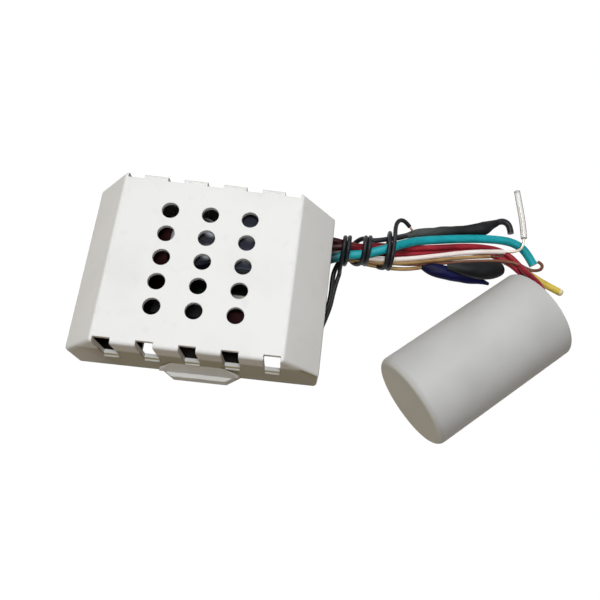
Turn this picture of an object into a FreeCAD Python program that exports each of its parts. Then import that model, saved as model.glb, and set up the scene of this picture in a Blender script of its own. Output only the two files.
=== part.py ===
import FreeCAD, Part
import math
import os
import re
import Sketcher
from FreeCAD import Placement, Rotation, Vector

# Fan remote receiver: a vented two-part box with its circuit board, bundle of leads and motor capacitor.
# Millimetres, +Z up, +X towards the leads, the front latch at -Y.
# The origin is at the centre of the base's underside.

# Driving sizes
SIZES = {
    # box
    "base_width": 73.0,
    "base_depth": 52.0,
    "base_height": 12.5,
    "cover_rise": 14.0,
    "top_width": 52.2,
    "wall": 1.5,
    "floor_thick": 1.5,
    "edge_round": 1.2,
    "running_gap": 0.15,
    # vents in the top
    "vent_bore": 4.9,
    "vent_across": 11.5,
    "vent_along": 7.35,
    "vent_columns": 3,
    "vent_rows": 5,
    "vent_back": 0.45,
    # windows in the front and back
    "window_width": 4.7,
    "window_pitch": 11.5,
    "window_count": 5,
    "window_onto_top": 1.7,
    "lip_width": 4.2,
    "lip_rise": 0.8,
    "lip_reach": 0.5,
    "rib_width": 4.0,
    "rib_thick": 0.8,
    "rib_rise": 2.0,
    # latches
    "latch_across": 1.0,
    "tongue_width": 14.4,
    "tongue_sunk": 0.65,
    "flap_width": 23.6,
    "flap_drop": 7.3,
    "flap_flare": 1.4,
    "hook_width": 14.0,
    "hook_thick": 0.9,
    "hook_drop": 4.2,
    "lug_height": 5.0,
    "lug_reach": 2.7,
    "lug_root_width": 24.2,
    "lug_tip_width": 16.0,
    "slot_width": 15.0,
    "slot_reach": 1.3,
    # wire exits and floor vents
    "exit_front": 10.4,
    "exit_back": 23.2,
    "exit_low": 2.0,
    "exit_high": 9.8,
    "groove_front": -14.6,
    "groove_back": -1.2,
    "groove_rise": 2.6,
    "floor_vent_width": 5.4,
    "floor_vent_depth": 4.4,
    "floor_vent_left": -15.2,
    "floor_vent_right": 22.0,
    "floor_vent_margin": 3.4,
    # circuit board
    "board_room_across": 8.0,
    "board_room_along": 9.5,
    "board_width": "=base_width - 2 * wall - board_room_across",
    "board_depth": "=base_depth - 2 * wall - board_room_along",
    "board_thick": 1.6,
    "board_across": -2.0,
    "board_back": 3.25,
    "board_hole_inset": 3.0,
    "post_rise": 2.5,
    "post_width": 5.0,
    "screw_bore": 2.0,
    "screw_shank": 1.8,
    "screw_length": 3.6,
    "screw_head": 4.0,
    "screw_head_rise": 1.4,
    # parts on the board
    "relay_width": 15.5,
    "relay_depth": 19.0,
    "relay_height": 15.5,
    "big_can_width": 15.6,
    "big_can_height": 15.5,
    "small_can_width": 8.0,
    "small_can_height": 11.0,
    "film_long_width": 7.0,
    "film_long_depth": 18.0,
    "film_long_height": 12.5,
    "film_wide_width": 13.0,
    "film_wide_depth": 5.5,
    "film_wide_height": 11.0,
    "chip_width": 19.0,
    "chip_depth": 6.4,
    "chip_height": 3.5,
    "chip_legs_a_side": 8,
    "disc_width": 10.0,
    "disc_thick": 4.0,
    "fuse_width": 5.0,
    "fuse_length": 15.0,
    "bridge_width": 8.4,
    "bridge_depth": 6.4,
    "bridge_height": 3.2,
    "radio_width": 16.0,
    "radio_thick": 1.0,
    "radio_height": 9.0,
    "crystal_width": 10.5,
    "crystal_depth": 4.2,
    "crystal_height": 3.6,
    "resistor_width": 2.2,
    "resistor_length": 6.0,
    "stand_off": 0.6,
    # where they stand, counted from the board's centre
    "relay_across": 14.35,
    "relay_back": 7.75,
    "film_long_across": -13.3,
    "film_long_back": 3.75,
    "film_wide_across": 12.4,
    "film_wide_back": -15.85,
    "big_can_across": -1.6,
    "big_can_back": 5.95,
    "small_can_across": -22.0,
    "small_can_back": 10.75,
    "bridge_across": -20.0,
    "bridge_back": -11.25,
    "radio_across": -14.0,
    "radio_back": -16.85,
    "crystal_across": 11.2,
    "crystal_back": -7.25,
    "chip_across": -4.0,
    "chip_back": -11.25,
    "disc_across": -22.0,
    "disc_back": 0.75,
    "fuse_across": 26.0,
    "fuse_back": -1.25,
    "resistor_across": 21.3,
    "resistor_back": -11.25,
    "resistor_apart": 3.0,
    # motor capacitor
    "can_width": 29.2,
    "can_length": 49.4,
    "can_wall": 1.2,
    "can_round": 2.0,
    "can_turn": 39.8,
    "can_end_across": 63.1,
    "can_end_back": -31.15,
    "potting_sunk": 1.5,
    "potting_thick": 8.0,
    "potting_play": 0.05,
    "winding_gap": 0.6,
    # leads
    "teal_bore": 2.9,
    "red_bore": 2.0,
    "black_bore": 1.6,
    "white_bore": 1.6,
    "yellow_bore": 2.4,
    "tan_bore": 1.3,
    "brown_bore": 1.1,
    "bare_bore": 0.9,
    "sleeve_bore": 2.1,
    "hook_bore": 1.8,
    "antenna_bore": 1.4,
    "antenna_tip_bore": 0.7,
    # antenna wound round the bundle
    "wrap_across": 4.4,
    "wrap_widening": 1.5,
    "wrap_tall": 5.2,
    "wrap_centre_rise": 6.0,
    "wrap_pitch": 1.85,
    "wrap_step": 3.9,
    "wrap_first": 40.15,
    "bundle_back": 18.6,
    "bundle_slant": 0.11,
}

doc = FreeCAD.newDocument("fan_remote_receiver")
sheet = doc.addObject("Spreadsheet::Sheet", "Sizes")
for row, (alias, value) in enumerate(SIZES.items(), start=1):
    sheet.set("A%d" % row, alias)
    sheet.set("B%d" % row, str(value))
    sheet.setAlias("B%d" % row, alias)
doc.recompute()


def size(alias):
    return float(sheet.get(alias))


def formula(text):
    """The text with each size's name pointed at its cell."""
    return re.sub(r"[a-z_]+", lambda m: "Sizes." + m.group(0) if m.group(0) in SIZES else m.group(0), text)


# Sketches whose corners are held by formulas

def origin_item(body, role):
    return next(item for item in body.Origin.OriginFeatures if item.Role == role)


def sketch_on(body, name, role, offset="0"):
    sketch = body.newObject("Sketcher::SketchObject", name)
    sketch.AttachmentSupport = (origin_item(body, role), [""])
    sketch.MapMode = "FlatFace"
    if offset != "0":
        sketch.setExpression("AttachmentOffset.Base.z", formula(offset))
    return sketch


def hold(sketch, kind, element, text, start):
    number = sketch.addConstraint(Sketcher.Constraint(kind, *element, start))
    sketch.setExpression("Constraints[%d]" % number, formula(text))


def outline(sketch, corners):
    first = sketch.GeometryCount
    count = len(corners)
    angles = [math.tau * k / count for k in range(count)]
    ring = [Vector(9 * math.cos(angle), 9 * math.sin(angle), 0) for angle in angles]
    for k in range(count):
        sketch.addGeometry(Part.LineSegment(ring[k], ring[(k + 1) % count]), False)
    for k in range(count):
        sketch.addConstraint(Sketcher.Constraint("Coincident", first + k, 2, first + (k + 1) % count, 1))
    for k, (across, along) in enumerate(corners):
        hold(sketch, "DistanceX", (first + k, 1), across, ring[k].x)
        hold(sketch, "DistanceY", (first + k, 1), along, ring[k].y)


def rectangle(sketch, left, right, low, high):
    outline(sketch, [(left, low), (right, low), (right, high), (left, high)])


def circle(sketch, across, along, width):
    number = sketch.addGeometry(Part.Circle(Vector(1, 1, 0), Vector(0, 0, 1), 2), False)
    hold(sketch, "DistanceX", (number, 3), across, 1)
    hold(sketch, "DistanceY", (number, 3), along, 1)
    hold(sketch, "Diameter", (number,), width, 4)


# Features

def new_body(label):
    body = doc.addObject("PartDesign::Body", label)
    body.Label = label
    return body


def extrude(body, kind, name, sketch, length, both_ways=False, reverse=False):
    feature = body.newObject("PartDesign::" + kind, name)
    feature.Profile = sketch
    feature.setExpression("Length", formula(length))
    feature.SideType = "Symmetric" if both_ways else "One side"
    feature.Reversed = reverse
    body.Tip = feature
    return feature


def revolve(body, name, sketch, axis="H_Axis"):
    feature = body.newObject("PartDesign::Revolution", name)
    feature.Profile = sketch
    feature.ReferenceAxis = (sketch, [axis])
    feature.Angle = 360
    body.Tip = feature
    return feature


def mirror(body, name, originals, role="XZ_Plane"):
    feature = body.newObject("PartDesign::Mirrored", name)
    feature.Originals = originals
    feature.MirrorPlane = (origin_item(body, role), [""])
    body.Tip = feature
    return feature


def row_and_facing(body, name, original, pitch, count):
    """Repeats a feature in a row along X, and mirrors the row from front to back."""
    feature = body.newObject("PartDesign::MultiTransform", name)
    feature.Originals = [original]
    row = body.newObject("PartDesign::LinearPattern", name + "_row")
    row.Direction = (origin_item(body, "X_Axis"), [""])
    row.setExpression("Length", formula("%s * (%s - 1)" % (pitch, count)))
    row.setExpression("Occurrences", formula(count))
    facing = body.newObject("PartDesign::Mirrored", name + "_facing")
    facing.MirrorPlane = (origin_item(body, "XZ_Plane"), [""])
    feature.Transformations = [row, facing]
    body.Tip = feature
    return feature


def round_edges(body, name, feature, radius, wanted):
    """Rounds the edges of the feature that pass the test."""
    doc.recompute()
    edges = ["Edge%d" % (k + 1) for k, edge in enumerate(feature.Shape.Edges) if wanted(edge)]
    fillet = body.newObject("PartDesign::Fillet", name)
    fillet.Base = (feature, edges)
    fillet.setExpression("Radius", formula(radius))
    body.Tip = fillet
    return fillet


def middle(edge):
    return edge.valueAt((edge.FirstParameter + edge.LastParameter) / 2)


def runs_along(edge, axis):
    box = edge.BoundBox
    lengths = {"x": box.XLength, "y": box.YLength, "z": box.ZLength}
    return all(length < 1e-6 for key, length in lengths.items() if key != axis)


def stand_on_board(body, across, back, lift="0"):
    body.setExpression("Placement.Base.x", formula("board_across + " + across))
    body.setExpression("Placement.Base.y", formula("board_back + " + back))
    body.setExpression("Placement.Base.z", formula("floor_thick + post_rise + board_thick + " + lift))


# Cover: a moulded shell with sloping ends, open below

BOX_TOP = "(base_height + cover_rise)"
SLOPE_RUN = "((base_width - top_width) / 2)"
SLOPE_LONG = "sqrt(%s ^ 2 + cover_rise ^ 2)" % SLOPE_RUN
SLOPE_WALL = "(wall * %s / cover_rise)" % SLOPE_LONG
WINDOW_SILL = "(base_height + lip_rise)"


def window_centre(k):
    return "((%d - (window_count - 1) / 2) * window_pitch)" % k


def make_cover():
    body = new_body("cover")
    sketch = sketch_on(body, "cover_outline", "XZ_Plane")
    outline(sketch, [
        ("-base_width / 2", "base_height"),
        ("base_width / 2", "base_height"),
        ("top_width / 2", BOX_TOP),
        ("-top_width / 2", BOX_TOP),
    ])
    block = extrude(body, "Pad", "cover_block", sketch, "base_depth", both_ways=True)
    foot = size("base_height")
    block = round_edges(body, "cover_rounds", block, "edge_round",
                        lambda edge: middle(edge).z > foot + 1e-3)
    sketch = sketch_on(body, "cover_hollow_outline", "XZ_Plane")
    ceiling_half = "(top_width / 2 - %s + wall * %s / cover_rise)" % (SLOPE_WALL, SLOPE_RUN)
    outline(sketch, [
        ("-base_width / 2 + " + SLOPE_WALL, "base_height"),
        ("base_width / 2 - " + SLOPE_WALL, "base_height"),
        (ceiling_half, BOX_TOP + " - wall"),
        ("-" + ceiling_half, BOX_TOP + " - wall"),
    ])
    extrude(body, "Pocket", "cover_hollow", sketch, "base_depth - 2 * wall", both_ways=True)

    sketch = sketch_on(body, "vent_outline", "XY_Plane", BOX_TOP)
    circle(sketch, "-vent_across * (vent_columns - 1) / 2",
           "vent_back - vent_along * (vent_rows - 1) / 2", "vent_bore")
    vent = extrude(body, "Pocket", "vent", sketch, "2 * wall")
    vents = body.newObject("PartDesign::LinearPattern", "vents")
    vents.Originals = [vent]
    vents.Direction = (sketch, ["H_Axis"])
    vents.Direction2 = (sketch, ["V_Axis"])
    vents.setExpression("Length", formula("vent_across * (vent_columns - 1)"))
    vents.setExpression("Occurrences", formula("vent_columns"))
    vents.setExpression("Length2", formula("vent_along * (vent_rows - 1)"))
    vents.setExpression("Occurrences2", formula("vent_rows"))
    body.Tip = vents

    sketch = sketch_on(body, "window_outline", "XZ_Plane", "base_depth / 2")
    for k in range(int(size("window_count"))):
        rectangle(sketch, window_centre(k) + " - window_width / 2", window_centre(k) + " + window_width / 2",
                  WINDOW_SILL, BOX_TOP + " + wall")
    windows = extrude(body, "Pocket", "windows", sketch, "window_onto_top")
    sketch = sketch_on(body, "lip_outline", "XZ_Plane", "base_depth / 2 - wall / 2")
    for k in range(int(size("window_count"))):
        rectangle(sketch, window_centre(k) + " - lip_width / 2", window_centre(k) + " + lip_width / 2",
                  "base_height", WINDOW_SILL)
    lips = extrude(body, "Pad", "lips", sketch, "lip_reach + wall / 2")
    mirror(body, "back_windows", [windows, lips])

    # latch: a flared flap with a hook that reaches down into the base's lug
    sketch = sketch_on(body, "tongue_outline", "YZ_Plane", "latch_across")
    front = "-base_depth / 2"
    flap_low = "(base_height - flap_drop)"
    outline(sketch, [
        (front + " + tongue_sunk", "base_height + lip_rise / 2"),
        (front + " + tongue_sunk", flap_low),
        (front + " - flap_flare", flap_low),
        (front, "base_height"),
        (front, "base_height + lip_rise / 2"),
    ])
    tongue = extrude(body, "Pad", "tongue", sketch, "tongue_width", both_ways=True)
    sketch = sketch_on(body, "flap_outline", "XZ_Plane", "base_depth / 2 + running_gap")
    outline(sketch, [
        ("latch_across - flap_width / 2", flap_low),
        ("latch_across + flap_width / 2", flap_low),
        ("latch_across + tongue_width / 2", "base_height"),
        ("latch_across - tongue_width / 2", "base_height"),
    ])
    flap = extrude(body, "Pad", "flap", sketch, "flap_flare", reverse=False)
    sketch = sketch_on(body, "flap_slope_outline", "YZ_Plane", "latch_across")
    outline(sketch, [
        (front, "base_height"),
        (front + " - flap_flare", flap_low),
        (front + " - 3 * flap_flare", flap_low),
        (front + " - 3 * flap_flare", "base_height"),
    ])
    slope = extrude(body, "Pocket", "flap_slope", sketch, "2 * flap_width", both_ways=True)
    sketch = sketch_on(body, "hook_outline", "XY_Plane", flap_low + " - hook_drop")
    rectangle(sketch, "latch_across - hook_width / 2", "latch_across + hook_width / 2",
              front + " - slot_reach + running_gap", front + " - slot_reach + running_gap + hook_thick")
    hook = extrude(body, "Pad", "hook", sketch, "hook_drop + flap_flare / 4")
    mirror(body, "back_latch", [tongue, flap, slope, hook])
    return body


# Base: a shallow tub with posts for the board, latch lugs and exits for the leads

def make_base():
    body = new_body("base_shell")
    sketch = sketch_on(body, "base_outline", "XY_Plane")
    rectangle(sketch, "-base_width / 2", "base_width / 2", "-base_depth / 2", "base_depth / 2")
    block = extrude(body, "Pad", "base_block", sketch, "base_height")
    round_edges(body, "base_rounds", block, "edge_round", lambda edge: runs_along(edge, "z"))
    sketch = sketch_on(body, "base_hollow_outline", "XY_Plane", "base_height")
    rectangle(sketch, "-base_width / 2 + wall", "base_width / 2 - wall",
              "-base_depth / 2 + wall", "base_depth / 2 - wall")
    extrude(body, "Pocket", "base_hollow", sketch, "base_height - floor_thick")

    # posts under the four corners of the board
    corners = [(x, y) for x in (-1, 1) for y in (-1, 1)]
    sketch = sketch_on(body, "post_outline", "XY_Plane", "floor_thick / 2")
    for x, y in corners:
        circle(sketch, "board_across + %d * (board_width / 2 - board_hole_inset)" % x,
               "board_back + %d * (board_depth / 2 - board_hole_inset)" % y, "post_width")
    extrude(body, "Pad", "posts", sketch, "post_rise + floor_thick / 2")
    sketch = sketch_on(body, "post_bore_outline", "XY_Plane", "floor_thick + post_rise")
    for x, y in corners:
        circle(sketch, "board_across + %d * (board_width / 2 - board_hole_inset)" % x,
               "board_back + %d * (board_depth / 2 - board_hole_inset)" % y, "screw_bore")
    extrude(body, "Pocket", "post_bores", sketch, "screw_length - board_thick + running_gap")

    # ribs that locate the cover, between its windows
    sketch = sketch_on(body, "rib_outline", "YZ_Plane", "-(window_count - 2) / 2 * window_pitch")
    inside = "-base_depth / 2 + wall"
    outline(sketch, [
        (inside + " - wall / 4", "floor_thick / 2"),
        (inside + " + running_gap + rib_thick", "floor_thick / 2"),
        (inside + " + running_gap + rib_thick", "base_height + rib_rise"),
        (inside + " + running_gap", "base_height + rib_rise"),
        (inside + " + running_gap", "base_height - running_gap"),
        (inside + " - wall / 4", "base_height - running_gap"),
    ])
    rib = extrude(body, "Pad", "rib", sketch, "rib_width", both_ways=True)
    row_and_facing(body, "ribs", rib, "window_pitch", "(window_count - 1)")

    # latch: a slotted lug below, and a shallow recess above it for the cover's tongue
    front = "-base_depth / 2"
    sketch = sketch_on(body, "lug_outline", "XY_Plane")
    outline(sketch, [
        ("latch_across - lug_root_width / 2", front + " + wall / 2"),
        ("latch_across - lug_root_width / 2", front),
        ("latch_across - lug_tip_width / 2", front + " - lug_reach"),
        ("latch_across + lug_tip_width / 2", front + " - lug_reach"),
        ("latch_across + lug_root_width / 2", front),
        ("latch_across + lug_root_width / 2", front + " + wall / 2"),
    ])
    lug = extrude(body, "Pad", "lug", sketch, "lug_height")
    sketch = sketch_on(body, "slot_outline", "XY_Plane", "lug_height + wall")
    rectangle(sketch, "latch_across - slot_width / 2", "latch_across + slot_width / 2",
              front + " - slot_reach", front)
    slot = extrude(body, "Pocket", "slot", sketch, "lug_height + 2 * wall")
    sketch = sketch_on(body, "recess_outline", "XY_Plane", "base_height + wall")
    rectangle(sketch, "latch_across - tongue_width / 2 - running_gap",
              "latch_across + tongue_width / 2 + running_gap",
              front + " - wall", front + " + tongue_sunk + running_gap")
    recess = extrude(body, "Pocket", "recess", sketch, "flap_drop + wall + running_gap")
    mirror(body, "back_lug", [lug, slot, recess])

    # exits through the right wall, and vents through the floor
    sketch = sketch_on(body, "exit_outline", "YZ_Plane", "base_width / 2 + wall")
    rectangle(sketch, "exit_front", "exit_back", "exit_low", "exit_high")
    rectangle(sketch, "groove_front", "groove_back", "floor_thick", "floor_thick + groove_rise")
    extrude(body, "Pocket", "exits", sketch, "3 * wall")
    sketch = sketch_on(body, "floor_vent_outline", "XY_Plane", "floor_thick + wall")
    for centre in ("floor_vent_left", "floor_vent_right"):
        rectangle(sketch, centre + " - floor_vent_width / 2", centre + " + floor_vent_width / 2",
                  front + " + floor_vent_margin", front + " + floor_vent_margin + floor_vent_depth")
    extrude(body, "Pocket", "floor_vents", sketch, "2 * wall + floor_thick")
    return body


# Circuit board and what it carries

def make_board():
    body = new_body("circuit_board")
    body.setExpression("Placement.Base.x", formula("board_across"))
    body.setExpression("Placement.Base.y", formula("board_back"))
    body.setExpression("Placement.Base.z", formula("floor_thick + post_rise"))
    sketch = sketch_on(body, "board_outline", "XY_Plane")
    rectangle(sketch, "-board_width / 2", "board_width / 2", "-board_depth / 2", "board_depth / 2")
    for x in (-1, 1):
        for y in (-1, 1):
            circle(sketch, "%d * (board_width / 2 - board_hole_inset)" % x,
                   "%d * (board_depth / 2 - board_hole_inset)" % y, "screw_bore")
    extrude(body, "Pad", "board_sheet", sketch, "board_thick")
    return body


def block_part(label, width, depth, height, radius, across, back):
    """A moulded block with rounded upright and top edges, standing on the board."""
    body = new_body(label)
    stand_on_board(body, across, back)
    sketch = sketch_on(body, label + "_outline", "XY_Plane")
    rectangle(sketch, "-%s / 2" % width, "%s / 2" % width, "-%s / 2" % depth, "%s / 2" % depth)
    block = extrude(body, "Pad", label + "_block", sketch, height)
    round_edges(body, label + "_rounds", block, radius, lambda edge: middle(edge).z > 1e-3)
    return body


def can_part(label, width, height, across, back):
    """An upright electrolytic can with its crimped waist and rounded shoulder."""
    body = new_body(label)
    stand_on_board(body, across, back)
    sketch = sketch_on(body, label + "_outline", "XZ_Plane")
    outline(sketch, [
        ("0", "0"), (width + " / 2", "0"), (width + " / 2", height + " * 0.12"),
        (width + " / 2 - stand_off", height + " * 0.17"), (width + " / 2", height + " * 0.22"),
        (width + " / 2", height + " - stand_off"), (width + " / 2 - stand_off", height), ("0", height),
    ])
    revolve(body, label + "_turned", sketch, "V_Axis")
    return body


def on_board(across, back, lift):
    x = size("board_across") + size(across)
    y = size("board_back") + size(back)
    return Vector(x, y, size("floor_thick") + size("post_rise") + size("board_thick") + lift)


def make_chip():
    body = new_body("control_chip")
    stand_on_board(body, "chip_across", "chip_back")
    sketch = sketch_on(body, "chip_outline", "YZ_Plane")
    outline(sketch, [
        ("-chip_depth / 2", "stand_off + chip_height / 2"), ("-chip_depth / 2 + stand_off / 2", "stand_off"),
        ("chip_depth / 2 - stand_off / 2", "stand_off"), ("chip_depth / 2", "stand_off + chip_height / 2"),
        ("chip_depth / 2 - stand_off / 2", "stand_off + chip_height"),
        ("-chip_depth / 2 + stand_off / 2", "stand_off + chip_height"),
    ])
    extrude(body, "Pad", "chip_case", sketch, "chip_width", both_ways=True)
    sketch = sketch_on(body, "chip_leg_outline", "YZ_Plane",
                       "-(chip_legs_a_side - 1) / 2 * chip_width / chip_legs_a_side")
    outline(sketch, [
        ("-chip_depth / 2 - stand_off", "0"), ("-chip_depth / 2 - stand_off / 2", "0"),
        ("-chip_depth / 2 - stand_off / 2", "stand_off + chip_height / 2 - stand_off / 4"),
        ("-chip_depth / 2 + stand_off / 4", "stand_off + chip_height / 2 - stand_off / 4"),
        ("-chip_depth / 2 + stand_off / 4", "stand_off + chip_height / 2 + stand_off / 4"),
        ("-chip_depth / 2 - stand_off", "stand_off + chip_height / 2 + stand_off / 4"),
    ])
    leg = extrude(body, "Pad", "chip_leg", sketch, "stand_off", both_ways=True)
    row_and_facing(body, "chip_legs", leg, "chip_width / chip_legs_a_side", "chip_legs_a_side")
    return body


def make_varistor():
    body = new_body("varistor")
    stand_on_board(body, "disc_across", "disc_back")
    sketch = sketch_on(body, "varistor_outline", "XZ_Plane")
    circle(sketch, "0", "disc_width / 2 + stand_off", "disc_width")
    extrude(body, "Pad", "varistor_disc", sketch, "disc_thick", both_ways=True)
    sketch = sketch_on(body, "varistor_leg_outline", "XZ_Plane")
    for side in (-1, 1):
        rectangle(sketch, "%d * disc_width / 4 - stand_off / 2" % side,
                  "%d * disc_width / 4 + stand_off / 2" % side,
                  "0", "disc_width / 4")
    extrude(body, "Pad", "varistor_legs", sketch, "stand_off", both_ways=True)
    return body


def make_fuse():
    body = new_body("fuse")
    stand_on_board(body, "fuse_across", "fuse_back", "fuse_width / 2 + stand_off")
    sketch = sketch_on(body, "fuse_outline", "YZ_Plane")
    cap = "fuse_length / 5"
    outline(sketch, [
        ("-fuse_length / 2", "0"), ("-fuse_length / 2", "fuse_width / 2"),
        ("-fuse_length / 2 + " + cap, "fuse_width / 2"),
        ("-fuse_length / 2 + " + cap, "fuse_width / 2 - stand_off / 2"),
        ("fuse_length / 2 - " + cap, "fuse_width / 2 - stand_off / 2"),
        ("fuse_length / 2 - " + cap, "fuse_width / 2"),
        ("fuse_length / 2", "fuse_width / 2"), ("fuse_length / 2", "0"),
    ])
    revolve(body, "fuse_turned", sketch)
    return body


def make_fuse_clips():
    """Two saddles under the fuse's end caps, one solid each."""
    centre = on_board("fuse_across", "fuse_back", size("fuse_width") / 2 + size("stand_off"))
    seat = on_board("fuse_across", "fuse_back", 0).z
    width = size("fuse_width") + 2 * size("stand_off")
    solids = []
    for side in (-1, 1):
        place = centre + Vector(0, side * size("fuse_length") * 0.4, 0)
        long = size("fuse_length") / 6
        corner = Vector(place.x - width / 2, place.y - long / 2, seat)
        saddle = Part.makeBox(width, long, centre.z - seat, corner)
        bed = Part.makeCylinder(size("fuse_width") / 2, 2 * long, place - Vector(0, long, 0), Vector(0, 1, 0))
        solids.append(saddle.cut(bed))
    return group("fuse_clips", solids)


def make_screws():
    """Four pan-head screws through the corners of the board, one solid each."""
    seat = size("floor_thick") + size("post_rise") + size("board_thick")
    solids = []
    for x in (-1, 1):
        for y in (-1, 1):
            place = Vector(size("board_across") + x * (size("board_width") / 2 - size("board_hole_inset")),
                           size("board_back") + y * (size("board_depth") / 2 - size("board_hole_inset")), seat)
            head = Part.makeCylinder(size("screw_head") / 2, size("screw_head_rise"), place)
            head = head.makeFillet(size("screw_head_rise") / 3, [head.Edges[0]])
            foot = place - Vector(0, 0, size("screw_length"))
            shank = Part.makeCylinder(size("screw_shank") / 2, size("screw_length"), foot)
            solids.append(head.fuse(shank).removeSplitter())
    return group("board_screws", solids)


def make_resistors():
    """Two waisted resistor bodies lying on the board, one solid each."""
    radius = size("resistor_width") / 2
    long = size("resistor_length")
    solids = []
    for k in (0, 1):
        place = on_board("resistor_across", "resistor_back", radius)
        place += Vector(k * size("resistor_apart"), -k * size("stand_off"), 0)
        waist = radius * 0.8
        corners = [(0, 0), (radius, 0), (radius, long / 4), (waist, long / 3), (waist, 2 * long / 3),
                   (radius, 3 * long / 4), (radius, long), (0, long)]
        points = [place + Vector(x, y - long / 2, 0) for x, y in corners]
        face = Part.Face(Part.makePolygon(points + points[:1]))
        solids.append(face.revolve(place, Vector(0, 1, 0), 360))
    return group("resistors", solids)


def group(label, solids):
    piece = doc.addObject("Part::Feature", label)
    piece.Label = label
    piece.Shape = solids[0] if len(solids) == 1 else Part.makeCompound(solids)
    piece.Placement = Placement(Vector(0, 0, 0), Rotation())
    return piece


# Motor capacitor, lying on its side with its lead end turned away from the box

def lay_along_can(body, along):
    body.Placement = Placement(Vector(0, 0, 0), Rotation(Vector(0, 0, 1), size("can_turn")))
    body.setExpression("Placement.Base.x", formula("can_end_across + (%s) * cos(can_turn)" % along))
    body.setExpression("Placement.Base.y", formula("can_end_back + (%s) * sin(can_turn)" % along))
    body.setExpression("Placement.Base.z", formula("can_width / 2"))


def make_can():
    body = new_body("capacitor_can")
    lay_along_can(body, "0")
    sketch = sketch_on(body, "can_outline", "XZ_Plane")
    outline(sketch, [
        ("0", "0"), ("0", "can_width / 2"), ("can_length", "can_width / 2"),
        ("can_length", "can_width / 2 - can_wall"), ("can_wall", "can_width / 2 - can_wall"),
        ("can_wall", "0"),
    ])
    turned = revolve(body, "can_turned", sketch)
    outer = size("can_width") / 2
    round_edges(body, "can_rounds", turned, "can_round",
                lambda edge: edge.BoundBox.XMax < 1e-3 and edge.BoundBox.ZMax > outer - 0.1)
    return body


def disc_in_can(label, start, length, width):
    body = new_body(label)
    lay_along_can(body, start)
    sketch = sketch_on(body, label + "_outline", "YZ_Plane")
    circle(sketch, "0", "0", width)
    extrude(body, "Pad", label + "_disc", sketch, length)
    return body


# Leads: straight runs joined by arcs, as large as the runs allow

def spine(points):
    """The wire along the points, and the smallest arc radius on it."""
    edges = []
    last = points[0]
    smallest = None
    for before, corner, after in zip(points, points[1:], points[2:]):
        back = before - corner
        ahead = after - corner
        turn = math.pi - back.getAngle(ahead)
        shorter = min(back.Length, ahead.Length)
        reach = 0.45 * shorter
        radius = reach / math.tan(turn / 2)
        back.normalize()
        ahead.normalize()
        start = corner + back * reach
        end = corner + ahead * reach
        inward = (back + ahead).normalize()
        centre_away = math.hypot(radius, reach)
        through = corner + inward * (centre_away - radius)
        edges.append(Part.LineSegment(last, start).toShape())
        edges.append(Part.Arc(start, through, end).toShape())
        last = end
        smallest = radius if smallest is None else min(smallest, radius)
    edges.append(Part.LineSegment(last, points[-1]).toShape())
    return Part.Wire(edges), smallest


def ring_at(place, direction, radius):
    return Part.Wire([Part.makeCircle(radius, place, direction)])


def lead(label, route, bore):
    points = [Vector(*point) for point in route]
    path, smallest = spine(points)
    solid = path.makePipeShell([ring_at(points[0], points[1] - points[0], bore / 2)], True, False)
    expected = math.pi * bore ** 2 / 4 * path.Length
    print("%s length %.1f smallest radius %.2f volume %.2f expected %.2f"
          % (label, path.Length, smallest, solid.Volume, expected))
    return group(label, [solid])


def sleeve(label, stations):
    """A shrunk sleeve lofted through rings along its route: x, y, z and radius at each station."""
    places = [Vector(*station[:3]) for station in stations]
    rings = []
    for k, place in enumerate(places):
        direction = places[min(k + 1, len(places) - 1)] - places[max(k - 1, 0)]
        rings.append(ring_at(place, direction, stations[k][3]))
    return group(label, [Part.makeLoft(rings, True, False)])


# Routes of the leads, hand laid from the box to their ends

TEAL_ROUTE = [
    (28.83, 10.79, 7.43), (36.48, 16.40, 8.47), (42.84, 16.48, 6.30), (47.54, 19.29, 6.50),
    (54.70, 19.39, 9.00), (62.95, 24.18, 6.27), (72.51, 27.52, 3.72), (82.96, 29.67, 2.56),
    (92.76, 30.19, 1.99), (100.00, 29.20, 1.55), (103.70, 26.90, 1.55), (106.10, 23.60, 1.55),
]
REAR_RED_ROUTE = [
    (28.57, 19.85, 8.60), (35.57, 20.42, 8.74), (40.67, 20.54, 7.58), (47.80, 22.05, 6.14),
    (55.35, 20.60, 5.83), (63.21, 21.46, 4.29), (72.59, 23.90, 4.00), (82.83, 25.36, 3.02),
    (92.62, 22.91, 3.02), (96.70, 20.15, 3.44),
]
FRONT_RED_ROUTE = [
    (29.30, 15.97, 9.80), (34.49, 17.25, 4.42), (40.10, 18.80, 2.56), (48.91, 18.99, 2.76),
    (56.71, 19.16, 2.73), (65.11, 20.78, 2.58), (75.24, 22.80, 1.44), (85.21, 23.55, 1.15),
    (92.19, 22.30, 1.03), (96.15, 19.14, 1.40),
]
BLACK_ROUTE = [
    (21.50, -1.20, 2.80), (27.87, -2.53, 2.79), (33.43, -3.39, 2.69), (37.45, -2.28, 2.53),
    (37.51, 2.87, 1.74), (38.07, 8.36, 1.84), (37.21, 14.39, 5.72), (38.82, 18.50, 5.18),
    (46.50, 19.60, 10.15), (53.21, 23.27, 6.79), (58.89, 24.45, 7.22), (64.10, 27.90, 3.60),
]
WHITE_ROUTE = [
    (28.44, 18.40, 7.29), (34.74, 18.57, 7.79), (41.51, 18.33, 10.03), (48.39, 16.62, 7.83),
    (55.16, 17.70, 5.81), (63.13, 19.02, 5.31), (72.62, 21.58, 4.14), (82.51, 23.88, 7.13),
    (95.80, 26.90, 1.30),
]
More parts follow.
